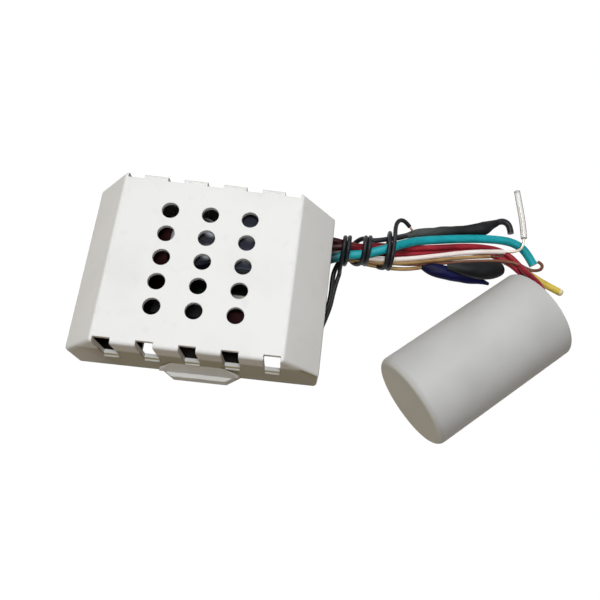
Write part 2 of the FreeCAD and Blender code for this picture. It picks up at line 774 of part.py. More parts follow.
YELLOW_ROUTE = [
    (28.51, 22.89, 7.16), (34.91, 21.01, 6.56), (41.31, 20.57, 5.03), (48.70, 20.98, 3.78),
    (56.84, 21.73, 3.39), (66.08, 24.27, 2.34), (75.84, 26.00, 1.24), (85.34, 26.51, 1.28),
    (92.94, 24.59, 1.25), (99.14, 20.15, 1.36), (107.60, 17.76, 2.20), (115.17, 14.60, 1.30),
]
LONG_TAN_ROUTE = [
    (28.32, 15.67, 7.48), (34.57, 15.26, 3.95), (41.22, 16.04, 3.99), (48.49, 16.89, 4.89),
    (55.41, 15.96, 5.47), (63.38, 16.87, 5.43), (72.65, 19.96, 4.41), (82.03, 22.29, 4.12),
    (89.46, 23.25, 4.76),
]
SHORT_TAN_ROUTE = [
    (27.27, 12.68, 8.66), (32.60, 15.56, 2.60), (41.38, 17.05, 2.93), (48.55, 17.39, 3.53),
    (56.26, 16.46, 4.17), (62.39, 17.00, 3.82), (68.53, 17.24, 2.10),
]
BROWN_ROUTE = [
    (28.47, 19.78, 6.74), (34.77, 19.94, 4.70), (41.42, 18.74, 4.38), (48.86, 18.38, 4.30),
    (56.71, 18.09, 4.36), (64.61, 18.41, 3.24), (73.03, 19.37, 3.14), (82.84, 20.91, 3.78),
    (90.76, 22.03, 7.79), (97.51, 22.68, 2.90), (101.46, 21.47, 2.00), (105.11, 20.41, 1.50),
    (108.36, 21.46, 1.20), (109.25, 23.96, 1.40), (107.72, 25.24, 1.60),
]
WHITE_BARE_ROUTE = [
    (95.80, 26.90, 1.30), (98.10, 27.10, 2.30), (100.20, 27.60, 3.50), (101.40, 29.00, 4.20),
    (101.20, 31.40, 4.20),
]
CLEAR_SLEEVE_ROUTE = [(101.2, 31.4, 4.2), (100.7, 36.6, 3.4), (99.7, 42.6, 2.5), (98.9, 49.4, 1.6)]
HOOK_ROUTE = [
    (92.21, 37.12, 1.60), (94.00, 37.87, 1.50), (95.81, 37.78, 1.40), (97.13, 36.54, 1.30),
    (97.60, 34.51, 1.20),
]
SPLICE_SLEEVE_STATIONS = [
    (64.07, 28.71, 3.50, 1.45), (67.02, 29.51, 3.10, 1.40), (71.87, 30.85, 2.60, 1.45),
    (76.72, 31.90, 2.40, 1.50), (81.25, 32.91, 2.20, 1.60), (85.04, 33.79, 2.30, 2.00),
    (87.80, 34.55, 2.35, 2.20), (90.34, 36.09, 2.00, 1.50), (92.21, 37.12, 1.60, 1.10),
]
BLUE_SLEEVE_STATIONS = [
    (68.53, 17.24, 2.10, 1.20), (70.92, 16.75, 2.10, 1.85), (74.62, 16.30, 2.25, 2.10),
    (79.07, 15.94, 2.15, 2.00), (83.60, 15.52, 1.75, 1.60), (87.19, 15.01, 1.15, 1.00),
    (90.28, 14.52, 0.60, 0.45),
]
END_CAP_STATIONS = [
    (75.48, 16.65, 5.60, 0.70), (78.07, 16.72, 5.90, 1.30), (81.75, 16.69, 5.90, 1.95),
    (85.23, 16.98, 5.40, 2.35), (88.77, 17.60, 4.80, 2.45), (91.65, 18.28, 4.20, 2.05),
    (93.48, 18.74, 3.80, 1.40), (94.02, 18.89, 3.70, 0.80),
]
ANTENNA_ROUTE = [
    (18.50, -14.60, 3.10), (23.50, -18.20, 2.70), (29.66, -17.73, 2.51), (34.05, -13.90, 2.50),
    (36.50, -8.81, 2.55), (37.71, -3.80, 1.04), (38.73, 1.55, 0.69), (39.60, 6.77, 1.20),
]
TAIL_ROUTE = [
    (57.00, 26.32, 10.20), (57.80, 28.85, 9.60), (59.46, 29.78, 8.90), (61.09, 29.12, 8.00),
    (62.34, 28.30, 7.00),
]
TIP_END = (63.15, 27.84, 6.20)


# The antenna's turns round the bundle: three pairs, with a longer step between pairs

TURN_START = math.radians(45)
TURN_END = math.radians(90 + 5 * 360)
PAIR_ENDS = (2, 4)
BUNDLE_FROM = 42.0
CLIMB_RUN = 5.4
TAIL_RUN = 3.6


def wrap_place(angle):
    turns = (angle - math.radians(90)) / math.tau
    steps = []
    for turns_before in PAIR_ENDS:
        low = math.tau * turns_before - math.radians(90)
        steps.append(min(max((angle - low) / math.radians(90), 0.0), 1.0))
    x = size("wrap_first") + size("wrap_pitch") * turns + size("wrap_step") * sum(steps)
    across = size("wrap_across") + size("wrap_widening") * steps[-1]
    y = size("bundle_back") + size("bundle_slant") * (x - BUNDLE_FROM) - across * math.cos(angle)
    z = size("wrap_centre_rise") + size("wrap_tall") * math.sin(angle)
    return Vector(x, y, z)


def wrap_heading(angle):
    nudge = 1e-3
    return (wrap_place(angle + nudge) - wrap_place(angle - nudge)).normalize()


def arc_from(start, heading, end):
    """The arc that leaves start along the heading and ends at end."""
    chord = end - start
    half = chord.Length / 2
    along = Vector(chord).normalize()
    side = heading - along * heading.dot(along)
    if side.Length < 1e-9:
        return Part.LineSegment(start, end).toShape()
    angle = heading.getAngle(chord)
    through = start + chord * 0.5 + side.normalize() * (half * math.tan(angle / 2))
    return Part.Arc(start, through, end).toShape()


def biarc(start, start_heading, end, end_heading):
    """Two arcs, tangent to each other and to both headings."""
    chord = end - start
    both = start_heading + end_heading
    share = 2 * (1 - start_heading.dot(end_heading))
    along = chord.dot(both)
    reach = (math.sqrt(along ** 2 + share * chord.dot(chord)) - along) / share
    joint = (start + end + (start_heading - end_heading) * reach) * 0.5
    second = arc_from(end, end_heading * -1, joint)
    return [arc_from(start, start_heading, joint), second]


def make_wrap():
    bore = size("antenna_bore")
    angles = [TURN_START]
    while angles[-1] < TURN_END - 1e-6:
        angles.append(min((math.floor(angles[-1] / (math.pi / 2) + 1e-6) + 1) * math.pi / 2, TURN_END))
    first = wrap_place(angles[0])
    last = wrap_place(angles[-1])
    edges = [Part.LineSegment(first - wrap_heading(angles[0]) * bore, first).toShape()]
    for low, high in zip(angles, angles[1:]):
        edges += biarc(wrap_place(low), wrap_heading(low), wrap_place(high), wrap_heading(high))
    edges.append(Part.LineSegment(last, last + wrap_heading(angles[-1]) * bore).toShape())
    path = Part.Wire(Part.__sortEdges__(edges))
    start = first - wrap_heading(angles[0]) * bore
    solid = path.makePipeShell([ring_at(start, wrap_heading(angles[0]), bore / 2)], True, False)
    steps = [TURN_START + k * math.radians(5) for k in range(370)]
    places = [(angle, wrap_place(angle)) for angle in steps]
    apart = [(here - there).Length for low, here in places for high, there in places if high - low > 3]
    nearest = min(apart) - bore
    print("antenna_wrap length %.1f volume %.2f expected %.2f gap to itself %.2f"
          % (path.Length, solid.Volume, math.pi * bore ** 2 / 4 * path.Length, nearest))
    return group("antenna_wrap", [solid])


# The reds go round the can's rim and into the potting

def can_point(along, across, height):
    """A point counted from the centre of the can's open end: along its axis, across it, and over the floor."""
    turn = math.radians(size("can_turn"))
    reach = size("can_length") + along
    x = size("can_end_across") + reach * math.cos(turn) - across * math.sin(turn)
    y = size("can_end_back") + reach * math.sin(turn) + across * math.cos(turn)
    return (x, y, height)


REAR_RED_END = [
    (10.0, 14.3, 5.8), (9.6, 10.9, 8.8), (8.6, 7.4, 11.9), (7.0, 4.2, 14.4), (4.4, 2.2, 15.8),
    (1.4, 1.8, 16.0),
]
FRONT_RED_END = [(7.6, 14.0, 5.0), (7.2, 10.5, 8.0), (6.2, 7.0, 10.6), (4.6, 4.0, 12.6), (1.6, 2.0, 13.4)]


def make_leads():
    sunk = size("potting_sunk")
    rear_end = [can_point(*place) for place in REAR_RED_END] + [can_point(-sunk, *REAR_RED_END[-1][1:])]
    front_end = [can_point(*place) for place in FRONT_RED_END] + [can_point(-sunk, *FRONT_RED_END[-1][1:])]
    start = wrap_place(TURN_START)
    heading = wrap_heading(TURN_START)
    bore = size("antenna_bore")
    climb = [tuple(start - heading * CLIMB_RUN), tuple(start - heading * bore)]
    over = wrap_place(TURN_END)
    leaving = wrap_heading(TURN_END)
    tail_start = [tuple(over + leaving * bore), tuple(over + leaving * TAIL_RUN)]
    lead("teal_wire", TEAL_ROUTE, size("teal_bore"))
    lead("rear_red_lead", REAR_RED_ROUTE + rear_end, size("red_bore"))
    lead("front_red_lead", FRONT_RED_ROUTE + front_end, size("red_bore"))
    lead("black_lead", BLACK_ROUTE, size("black_bore"))
    lead("white_wire", WHITE_ROUTE, size("white_bore"))
    lead("yellow_wire", YELLOW_ROUTE, size("yellow_bore"))
    lead("long_tan_wire", LONG_TAN_ROUTE, size("tan_bore"))
    lead("short_tan_wire", SHORT_TAN_ROUTE, size("tan_bore"))
    lead("brown_wire", BROWN_ROUTE, size("brown_bore"))
    lead("white_bare_end", WHITE_BARE_ROUTE, size("bare_bore"))
    lead("clear_sleeve", CLEAR_SLEEVE_ROUTE, size("sleeve_bore"))
    lead("hook_wire", HOOK_ROUTE, size("hook_bore"))
    lead("antenna_lead", ANTENNA_ROUTE + climb, bore)
    lead("antenna_tail", tail_start + TAIL_ROUTE, bore)
    tip = Vector(*TIP_END) - Vector(*TAIL_ROUTE[-1])
    strand = Part.makeCylinder(size("antenna_tip_bore") / 2, tip.Length, Vector(*TAIL_ROUTE[-1]), tip)
    group("antenna_tip", [strand])
    sleeve("splice_sleeve", SPLICE_SLEEVE_STATIONS)
    sleeve("blue_sleeve", BLUE_SLEEVE_STATIONS)
    sleeve("end_cap", END_CAP_STATIONS)


make_cover()
make_base()
make_board()
block_part("relay", "relay_width", "relay_depth", "relay_height", "stand_off", "relay_across", "relay_back")
block_part("film_capacitor_1", "film_long_width", "film_long_depth", "film_long_height",
           "stand_off", "film_long_across", "film_long_back")
block_part("film_capacitor_2", "film_wide_width", "film_wide_depth", "film_wide_height",
           "stand_off", "film_wide_across", "film_wide_back")
block_part("rectifier", "bridge_width", "bridge_depth", "bridge_height",
           "stand_off / 2", "bridge_across", "bridge_back")
block_part("radio_board", "radio_width", "radio_thick", "radio_height",
           "radio_thick / 8", "radio_across", "radio_back")
block_part("radio_crystal", "crystal_width", "crystal_depth", "crystal_height",
           "stand_off", "crystal_across", "crystal_back")
can_part("electrolytic_large", "big_can_width", "big_can_height", "big_can_across", "big_can_back")
can_part("electrolytic_small", "small_can_width", "small_can_height", "small_can_across", "small_can_back")
make_chip()
make_varistor()
make_fuse()
make_fuse_clips()
make_screws()
make_resistors()
make_can()
disc_in_can("capacitor_potting", "can_length - potting_sunk - potting_thick", "potting_thick",
            "can_width - 2 * can_wall - 2 * potting_play")
disc_in_can("capacitor_winding", "can_wall + winding_gap",
            "can_length - can_wall - winding_gap - potting_sunk - potting_thick",
            "can_width - 2 * can_wall - 2 * winding_gap")
make_wrap()
make_leads()
doc.recompute()

# Check every object, then write each piece
for item in doc.Objects:
    if "Invalid" in item.State or "Error" in item.State:
        raise RuntimeError("%s failed: %s" % (item.Name, item.State))
pieces = [item for item in doc.Objects if item.TypeId in ("PartDesign::Body", "Part::Feature")]
os.makedirs("parts", exist_ok=True)
for piece in pieces:
    shape = piece.Shape
    if shape.isNull() or not shape.isValid() or not shape.Solids:
        raise RuntimeError("%s has no valid solid" % piece.Label)
for piece in pieces:
    piece.Shape.exportStep("parts/%s.step" % piece.Label)
print("%d pieces" % len(pieces))
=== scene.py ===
import math

import bmesh
import bpy
from mathutils import Matrix, Vector, noise


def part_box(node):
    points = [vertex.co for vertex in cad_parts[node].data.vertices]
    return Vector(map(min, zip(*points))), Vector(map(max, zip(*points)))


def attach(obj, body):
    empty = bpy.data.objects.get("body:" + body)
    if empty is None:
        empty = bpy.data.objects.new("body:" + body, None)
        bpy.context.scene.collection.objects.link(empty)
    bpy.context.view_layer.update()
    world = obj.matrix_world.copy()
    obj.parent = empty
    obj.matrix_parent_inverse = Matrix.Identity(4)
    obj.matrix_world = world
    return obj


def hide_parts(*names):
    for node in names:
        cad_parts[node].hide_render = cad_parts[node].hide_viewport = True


# Looks for the fan remote receiver: its vented box, its bundle of leads and its motor capacitor.
# Metres, in the same frame as the solids.

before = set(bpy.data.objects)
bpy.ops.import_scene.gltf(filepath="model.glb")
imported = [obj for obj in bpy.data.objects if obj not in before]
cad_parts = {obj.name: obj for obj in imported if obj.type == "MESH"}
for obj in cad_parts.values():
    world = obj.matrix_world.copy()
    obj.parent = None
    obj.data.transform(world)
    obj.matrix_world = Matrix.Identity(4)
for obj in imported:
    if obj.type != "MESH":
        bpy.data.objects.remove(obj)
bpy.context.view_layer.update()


# Camera, fitted to the corners and vent rows of the box in the photograph

CAMERA_PLACE = (0.03107, -0.06684, 0.19881)
CAMERA_TURN = -10.09
CAMERA_RISE = 70.49
CAMERA_ROLL = 16.15
CAMERA_LENS = 38.83
CAMERA_SENSOR = 36
CAMERA_SHIFT = (-0.0777, 0.0045)
CAMERA_NEAR = 0.005


def place_camera():
    turn, rise, roll = (math.radians(angle) for angle in (CAMERA_TURN, CAMERA_RISE, CAMERA_ROLL))
    back = Vector((math.sin(turn) * math.cos(rise), -math.cos(turn) * math.cos(rise), math.sin(rise)))
    level = Vector((math.cos(turn), math.sin(turn), 0))
    upright = back.cross(level)
    right = level * math.cos(roll) + upright * math.sin(roll)
    up = upright * math.cos(roll) - level * math.sin(roll)
    data = bpy.data.cameras.new("camera")
    data.sensor_width = CAMERA_SENSOR
    data.lens = CAMERA_LENS
    data.shift_x, data.shift_y = CAMERA_SHIFT
    data.clip_start = CAMERA_NEAR
    camera = bpy.data.objects.new("camera", data)
    bpy.context.scene.collection.objects.link(camera)
    axes = Matrix((right, up, back)).transposed().to_4x4()
    camera.matrix_world = Matrix.Translation(CAMERA_PLACE) @ axes
    bpy.context.scene.camera = camera


place_camera()


# Finishes: shader maths written as expressions

def paint(red, green, blue):
    """A display colour, 0 to 255, as the linear colour the shader takes."""
    linear = []
    for level in (red, green, blue):
        share = level / 255
        linear.append(share / 12.92 if level <= 10 else ((share + 0.055) / 1.055) ** 2.4)
    return (*linear, 1.0)


def dimmed(colour, share):
    """A display colour with its levels brought down to a share of themselves."""
    return paint(*(level * share for level in colour))


class Flow:
    """A value that changes over a surface. Arithmetic on it adds Math nodes."""

    def __init__(self, shading, socket):
        self.shading = shading
        self.socket = socket

    def joined(self, operation, first, second):
        return self.shading.add("ShaderNodeMath", {"operation": operation}, {0: first, 1: second})

    def __add__(self, other):
        return self.joined("ADD", self, other)

    def __radd__(self, other):
        return self.joined("ADD", other, self)

    def __sub__(self, other):
        return self.joined("SUBTRACT", self, other)

    def __rsub__(self, other):
        return self.joined("SUBTRACT", other, self)

    def __mul__(self, other):
        return self.joined("MULTIPLY", self, other)

    def __rmul__(self, other):
        return self.joined("MULTIPLY", other, self)

    def __pow__(self, other):
        return self.joined("POWER", self, other)

    def __abs__(self):
        return self.shading.add("ShaderNodeMath", {"operation": "ABSOLUTE"}, {0: self})


class Shading:
    """A tree of shader nodes, built node by node."""

    def __init__(self, tree):
        self.tree = tree
        self.tree.nodes.clear()

    def add(self, kind, settings=None, inputs=None, output=0):
        node = self.tree.nodes.new(kind)
        for key, value in (settings or {}).items():
            setattr(node, key, value)
        for key, value in (inputs or {}).items():
            if isinstance(value, Flow):
                self.tree.links.new(value.socket, node.inputs[key])
            else:
                node.inputs[key].default_value = value
        return Flow(self, node.outputs[output])

    def shown_rays(self):
        """Above 0 for the rays that the picture shows: straight, mirrored or let through a piece."""
        outputs = ("Is Camera Ray", "Is Glossy Ray", "Is Transmission Ray")
        straight, mirrored, let_through = (self.add("ShaderNodeLightPath", output=name) for name in outputs)
        return straight + mirrored + let_through

    def mixed(self, share, first, second):
        return self.add("ShaderNodeMixShader", inputs={0: share, 1: first, 2: second})

    def end_in(self, kind, shader):
        end = self.tree.nodes.new(kind)
        self.tree.links.new(shader.socket, end.inputs["Surface"])


class Finish(Shading):
    """One material, with the patterns that the finishes share."""

    def __init__(self, name):
        self.material = bpy.data.materials.new(name)
        self.material.use_nodes = True
        super().__init__(self.material.node_tree)

    def place(self, stretch=(1, 1, 1)):
        """The point on the piece, stretched along its axes."""
        spot = self.add("ShaderNodeTexCoord", output="Object")
        if stretch == (1, 1, 1):
            return spot
        return self.add("ShaderNodeMapping", inputs={"Vector": spot, "Scale": stretch})

    def along(self, axis, centre=0.0):
        """The distance along one axis of the piece's frame, in metres."""
        return self.add("ShaderNodeSeparateXYZ", inputs={0: self.place()}, output="XYZ".index(axis)) - centre

    def reach(self, x, y):
        """The distance from an upright line through x, y."""
        across = self.along("X", x)
        back = self.along("Y", y)
        return (across * across + back * back) ** 0.5

    def grain(self, scale, detail, stretch=(1, 1, 1), roughness=0.5):
        """Cloudy noise over the piece, finer as the scale grows."""
        values = {"Vector": self.place(stretch), "Scale": scale, "Detail": detail, "Roughness": roughness}
        return self.add("ShaderNodeTexNoise", inputs=values)

    def step(self, value, low, high):
        """0 below low, 1 above high, smooth between."""
        values = {"Value": value, "From Min": low, "From Max": high}
        return self.add("ShaderNodeMapRange", {"interpolation_type": "SMOOTHSTEP"}, values)

    def band(self, value, rise, fall):
        """1 between a rise and a fall, each given as its low and high edge, and 0 outside them."""
        return self.step(value, *rise) * (1 - self.step(value, *fall))

    def tint(self, first, second, share):
        """The first colour where the share is 0, the second where it is 1."""
        return self.add("ShaderNodeMix", {"data_type": "RGBA"}, {0: share, 6: first, 7: second}, output=2)

    def relief(self, height, depth, strength, round_off=0.0):
        """Bumps as tall as the depth, over edges that look rounded off."""
        values = {"Height": height, "Distance": depth, "Strength": strength}
        if round_off:
            values["Normal"] = self.add("ShaderNodeBevel", {"samples": 6}, {"Radius": round_off})
        return self.add("ShaderNodeBump", inputs=values)

    def done(self, **sockets):
        inputs = {name.replace("_", " "): value for name, value in sockets.items()}
        self.end_in("ShaderNodeOutputMaterial", self.add("ShaderNodeBsdfPrincipled", inputs=inputs))
        return self.material


def moulded(name, colour, shade, worn, roughness, specular, edge, depth, marks=None):
    """Injection-moulded plastic: a fine spark-eroded grain, faint flow marks and softened edges."""
    finish = Finish(name)
    flow = finish.grain(45.0, 3.0)
    grain = finish.grain(2600.0, 2.0)
    handling = finish.grain(260.0, 4.0, (1, 1, 0.4))
    worn_colour, worn_share = worn
    base = finish.tint(paint(*colour), paint(*shade), finish.step(flow, 0.42, 0.75))
    base = finish.tint(base, worn_colour, worn_share * finish.step(handling, 0.58, 0.74))
    # Marks, where given, paint over the plastic: the shell's marks are painted shade
    if marks:
        base = marks(finish, base)
    rough = roughness + 0.10 * grain + 0.08 * handling
    return finish.done(Base_Color=base, Roughness=rough, Specular_IOR_Level=specular,
                       Normal=finish.relief(grain + 0.5 * handling, depth, 0.6, edge))


# Edges on the white shell, each a low and a high value: the base's inner floor, and its front wall's face,
# where shade is painted
INNER_FLOOR_BOTTOM = (0.0012, 0.0014)
INNER_FLOOR_TOP = (0.0016, 0.0018)
INNER_FLOOR_SIDES = (0.0246, 0.0249)
WALL_INSIDE = (0.0255, 0.0257)
WALL_OUTSIDE = (0.02612, 0.0262)
FRONT_SIDE = (-0.001, 0.001)
PAINTED_SHADE_TOP = (0.0180, 0.0205)
PAINTED_SHADE_LEFT = (-0.034, -0.024)


def shell_painted_shade(finish, base):
    """Painted shade: the base's inner floor is painted dark under the board, and its front wall a warm
    shade, weaker at its left end.
    """
    height = finish.along("Z")
    backward = finish.along("Y")
    off_middle = abs(backward)
    under = finish.band(height, INNER_FLOOR_BOTTOM, INNER_FLOOR_TOP)
    under = under * (1 - finish.step(off_middle, *INNER_FLOOR_SIDES))
    # Painted shade: the inner floor painted near-black under the board, as if unlit
    base = finish.tint(base, paint(34, 32, 30), under)
    # Painted shade: a warm dark tint on the front wall below its top, weaker towards the lit left end
    front = finish.band(off_middle, WALL_INSIDE, WALL_OUTSIDE) * (1 - finish.step(backward, *FRONT_SIDE))
    shade_share = 0.3 + 0.7 * finish.step(finish.along("X"), *PAINTED_SHADE_LEFT)
    painted_front_shade = front * (1 - finish.step(height, *PAINTED_SHADE_TOP)) * shade_share
    return finish.tint(base, paint(160, 151, 120), painted_front_shade)


def board_case(name, colour, shade, roughness, specular, edge, depth):
    """The moulded or dipped case of a component on the board."""
    return moulded(name, colour, shade, (dimmed(colour, 0.94), 0.35), roughness, specular, edge, depth)


# Leads are painted darkest up to here along X, just outside the box's wall: painted shade from the box
SHADE_PAINTED_UP_TO = 0.037


def vinyl(name, colour, shade, roughness=0.36, specular=0.16, painted_shade_to=0.0425):
    """Extruded wire cover: drawn lengthwise, uneven in colour, with fine scuffs and painted shade by the
    box.
    """
    finish = Finish(name)
    drawn = finish.grain(900.0, 3.0, (0.15, 1, 1))
    patch = finish.grain(120.0, 2.0)
    scuff = finish.grain(1500.0, 3.0, (0.5, 1, 1))
    base = finish.tint(paint(*colour), paint(*shade), finish.step(0.6 * patch + 0.4 * drawn, 0.38, 0.66))
    # Painted shade: each lead darkened from here towards the box's wall, where the box shades it
    unshaded = finish.step(finish.along("X"), SHADE_PAINTED_UP_TO, painted_shade_to)
    base = finish.tint(dimmed(shade, 0.36), base, unshaded)
    rough = roughness + 0.16 * finish.step(scuff, 0.45, 0.8)
    return finish.done(Base_Color=base, Roughness=rough, Specular_IOR_Level=specular,
                       Normal=finish.relief(drawn + 0.4 * scuff, 0.00004, 0.5))


# Where a sleeve's paler mouth ends along X
MOUTH_EDGE = (0.064, 0.082)


def shrunk(name, colour, shade, mouth=None):
    """Heat-shrunk sleeve: a dull skin with fine wrinkles, and paler where it starts if a mouth is given."""
    finish = Finish(name)
    wrinkle = finish.grain(420.0, 4.0, (1.4, 0.8, 0.8), 0.6)
    patch = finish.grain(90.0, 2.0)
    base = finish.tint(paint(*colour), paint(*shade), finish.step(patch, 0.35, 0.7))
    if mouth:
        base = finish.tint(paint(*mouth), base, finish.step(finish.along("X"), *MOUTH_EDGE))
    return finish.done(Base_Color=base, Roughness=0.42 + 0.2 * wrinkle, Specular_IOR_Level=0.12,
                       Normal=finish.relief(wrinkle, 0.00012, 0.6))


def metal(name, colour, shade, roughness, drawn=(1, 1, 1)):
    """Bare metal with a brushed grain and faint patches."""
    finish = Finish(name)
    brushed = finish.grain(1400.0, 3.0, drawn)
    patch = finish.grain(160.0, 3.0)
    base = finish.tint(paint(*colour), paint(*shade), finish.step(patch, 0.35, 0.7))
    return finish.done(Base_Color=base, Metallic=1.0, Roughness=roughness + 0.2 * brushed,
                       Normal=finish.relief(brushed, 0.00002, 0.5))


def board_green():
    """Solder mask with paler tracks under it and bright pads."""
    finish = Finish("board_green")
    cells = {"Vector": finish.place(), "Scale": 260.0, "Randomness": 0.9}
    blocks = finish.add("ShaderNodeTexVoronoi", {"distance": "CHEBYCHEV"}, cells)
    edges = finish.add("ShaderNodeTexVoronoi", {"distance": "MANHATTAN"}, {**cells, "Scale": 190.0})
    tracks = finish.band(blocks, (0.30, 0.34), (0.48, 0.52))
    pads = 1 - finish.step(edges, 0.10, 0.14)
    base = finish.tint(paint(6, 20, 12), paint(10, 30, 18), tracks)
    base = finish.tint(base, paint(56, 54, 46), pads)
    return finish.done(Base_Color=base, Metallic=0.4 * pads, Roughness=0.55 - 0.1 * tracks,
                       Specular_IOR_Level=0.08, Normal=finish.relief(tracks + pads, 0.00006, 0.6))


def relay_case():
    """Dark moulded case with a round mould mark on its top."""
    finish = Finish("relay_case")
    grain = finish.grain(1800.0, 2.0)
    haze = finish.grain(150.0, 3.0)
    low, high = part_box("relay")
    mark_forward = 0.006
    from_mark = finish.reach((low.x + high.x) / 2, (low.y + high.y) / 2 - mark_forward)
    mould = finish.step(from_mark, 0.0012, 0.0014)
    base = finish.tint(paint(58, 62, 76), paint(48, 52, 64), haze)
    return finish.done(Base_Color=base, Roughness=0.34 + 0.12 * grain, Specular_IOR_Level=0.2,
                       Normal=finish.relief(mould + 0.06 * grain, 0.00015, 0.8, 0.0004))


def electrolytic_sleeve():
    """A dark sleeve with a pale stripe, shrunk over the can, whose scored top shows inside its rim."""
    finish = Finish("electrolytic_sleeve")
    top_mask = 0.0
    score = 0.0
    stripe = 0.0
    for node in ("electrolytic_large", "electrolytic_small"):
        low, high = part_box(node)
        x = (low.x + high.x) / 2
        y = (low.y + high.y) / 2
        radius = (high.x - low.x) / 2
        across = finish.along("X", x)
        out = finish.reach(x, y)
        near = 1 - finish.step(out, radius + 0.0005, radius + 0.0006)
        inside_rim = 1 - finish.step(out, radius - 0.0014, radius - 0.0012)
        disc = inside_rim * finish.step(finish.along("Z", high.z), -0.0004, -0.0002)
        top_mask = disc + top_mask
        cross = abs(across * finish.along("Y", y))
        score = disc * (1 - finish.step(cross, 0.0000004, 0.0000009)) + score
        stripe = near * finish.step(across * -1.0, radius * 0.86, radius * 0.88) + stripe
    base = finish.tint(paint(30, 32, 44), paint(196, 200, 206), stripe)
    base = finish.tint(base, paint(62, 65, 74), top_mask)
    base = finish.tint(base, paint(62, 64, 68), score)
    return finish.done(Base_Color=base, Metallic=0.3 * top_mask, Roughness=0.36 - 0.04 * top_mask,
                       Normal=finish.relief(1 - score, 0.0002, 0.8))


def glass_tube():
    """A fuse: plated caps with a smoked glass tube between them and its wire inside."""
    finish = Finish("fuse_glass")
    low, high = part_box("fuse")
    length = high.y - low.y
    off_middle = abs(finish.along("Y", (low.y + high.y) / 2))
    off_wire = abs(finish.along("X", (low.x + high.x) / 2))
    cap = finish.step(off_middle, length * 0.295, length * 0.305)
    wire_line = 1 - finish.step(off_wire, 0.0002, 0.0003)
    base = finish.tint(paint(186, 198, 196), paint(120, 112, 96), wire_line)
    base = finish.tint(base, paint(214, 212, 206), cap)
    return finish.done(Base_Color=base, Metallic=cap, Roughness=0.08 + 0.2 * cap,
                       Normal=finish.relief(cap, 0.0001, 0.4), Coat_Weight=0.5)


# The resistors' bands: each one's centre along the body, and its colour
RESISTOR_BANDS = (
    (-0.0021, (150, 60, 30)),
    (-0.0010, (30, 26, 26)),
    (0.0001, (190, 50, 40)),
    (0.0021, (180, 140, 50)),
)


def resistor_coat():
    """Tan lacquer with four colour bands."""
    finish = Finish("resistor_coat")
    low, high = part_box("resistors")
    lengthwise = finish.along("Y", (low.y + high.y) / 2)
    base = paint(206, 178, 132)
    for centre, colour in RESISTOR_BANDS:
        away = abs(lengthwise - centre)
        base = finish.tint(base, paint(*colour), 1 - finish.step(away, 0.00028, 0.00034))
    gloss = finish.grain(600.0, 2.0)
    return finish.done(Base_Color=base, Roughness=0.28 + 0.1 * gloss,
                       Normal=finish.relief(gloss, 0.00004, 0.5))


# The motor capacitor: the middle of its closed end, the way its axis points, and where the painted light on
# the end stops
CAN_END = (0.0631, -0.03115, 0.0146)
CAN_AXIS = (0.7683, 0.6401)
PAINTED_LIGHT_END_EDGE = (0.0286, 0.0296)


def capacitor_case():
    """Grey plastic can with a matt skin, its closed end painted paler as painted light, and a faint gate
    mark in that end's middle.
    """
    finish = Finish("capacitor_case")
    skin = finish.grain(1900.0, 3.0)
    flow = finish.grain(60.0, 2.0)
    smear = finish.grain(180.0, 4.0, (0.5, 0.5, 1.2))
    gate = finish.add("ShaderNodeVectorMath", {"operation": "DISTANCE"}, {0: finish.place(), 1: CAN_END},
                      output="Value")
    dot = 1 - finish.step(gate, 0.0004, 0.0009)
    axis_x, axis_y = CAN_AXIS
    lengthwise = axis_x * finish.along("X") + axis_y * finish.along("Y")
    base = finish.tint(paint(195, 195, 194), paint(187, 187, 185), finish.step(flow, 0.35, 0.7))
    base = finish.tint(base, paint(188, 188, 184), 0.5 * finish.step(smear, 0.5, 0.75))
    # Painted light: the closed end, turned away from the key lamp, painted paler
    base = finish.tint(base, paint(216, 217, 211), 1 - finish.step(lengthwise, *PAINTED_LIGHT_END_EDGE))
    base = finish.tint(base, paint(226, 228, 222), 0.7 * dot)
    return finish.done(Base_Color=base, Roughness=0.5 + 0.12 * skin, Specular_IOR_Level=0.35,
                       Normal=finish.relief(0.12 * skin + dot, 0.00012, 0.6))


def potting_resin():
    """Dark resin, poured in and set with a slightly uneven top."""
    finish = Finish("potting_resin")
    pool = finish.grain(120.0, 2.0)
    fleck = finish.grain(2200.0, 2.0)
    base = finish.tint(paint(60, 58, 54), paint(74, 72, 66), pool)
    return finish.done(Base_Color=base, Roughness=0.22 + 0.2 * fleck, Specular_IOR_Level=0.5,
                       Normal=finish.relief(pool + 0.05 * fleck, 0.0004, 0.6))


def clear_vinyl():
    """Thin clear sleeve: see-through in its middle, with painted shade as darker lines where its wall is
    seen edge on.
    """
    finish = Finish("clear_vinyl")
    cloud = finish.grain(300.0, 3.0)
    facing = finish.add("ShaderNodeLayerWeight", inputs={"Blend": 0.3}, output="Facing")
    edge = finish.step(facing, 0.16, 0.42)
    base = finish.tint(paint(252, 252, 250), paint(238, 238, 235), cloud)
    # Painted shade where the wall is seen edge on
    base = finish.tint(base, paint(120, 120, 118), edge)
    return finish.done(Base_Color=base, Roughness=0.18 + 0.15 * cloud, Alpha=0.42 + 0.45 * edge,
                       Normal=finish.relief(cloud, 0.00008, 0.5))


def winding_film():
    """Metallised film in close turns."""
    finish = Finish("winding_film")
    values = {"Vector": finish.place(), "Scale": 900.0, "Distortion": 2.0}
    turns = finish.add("ShaderNodeTexWave", inputs=values)
    base = finish.tint(paint(210, 212, 214), paint(168, 170, 174), turns)
    return finish.done(Base_Color=base, Metallic=0.8, Roughness=0.3 + 0.2 * turns,
                       Normal=finish.relief(turns, 0.00003, 0.5))


# Grain drawn out along a wire
ALONG_WIRE = (0.2, 1, 1)

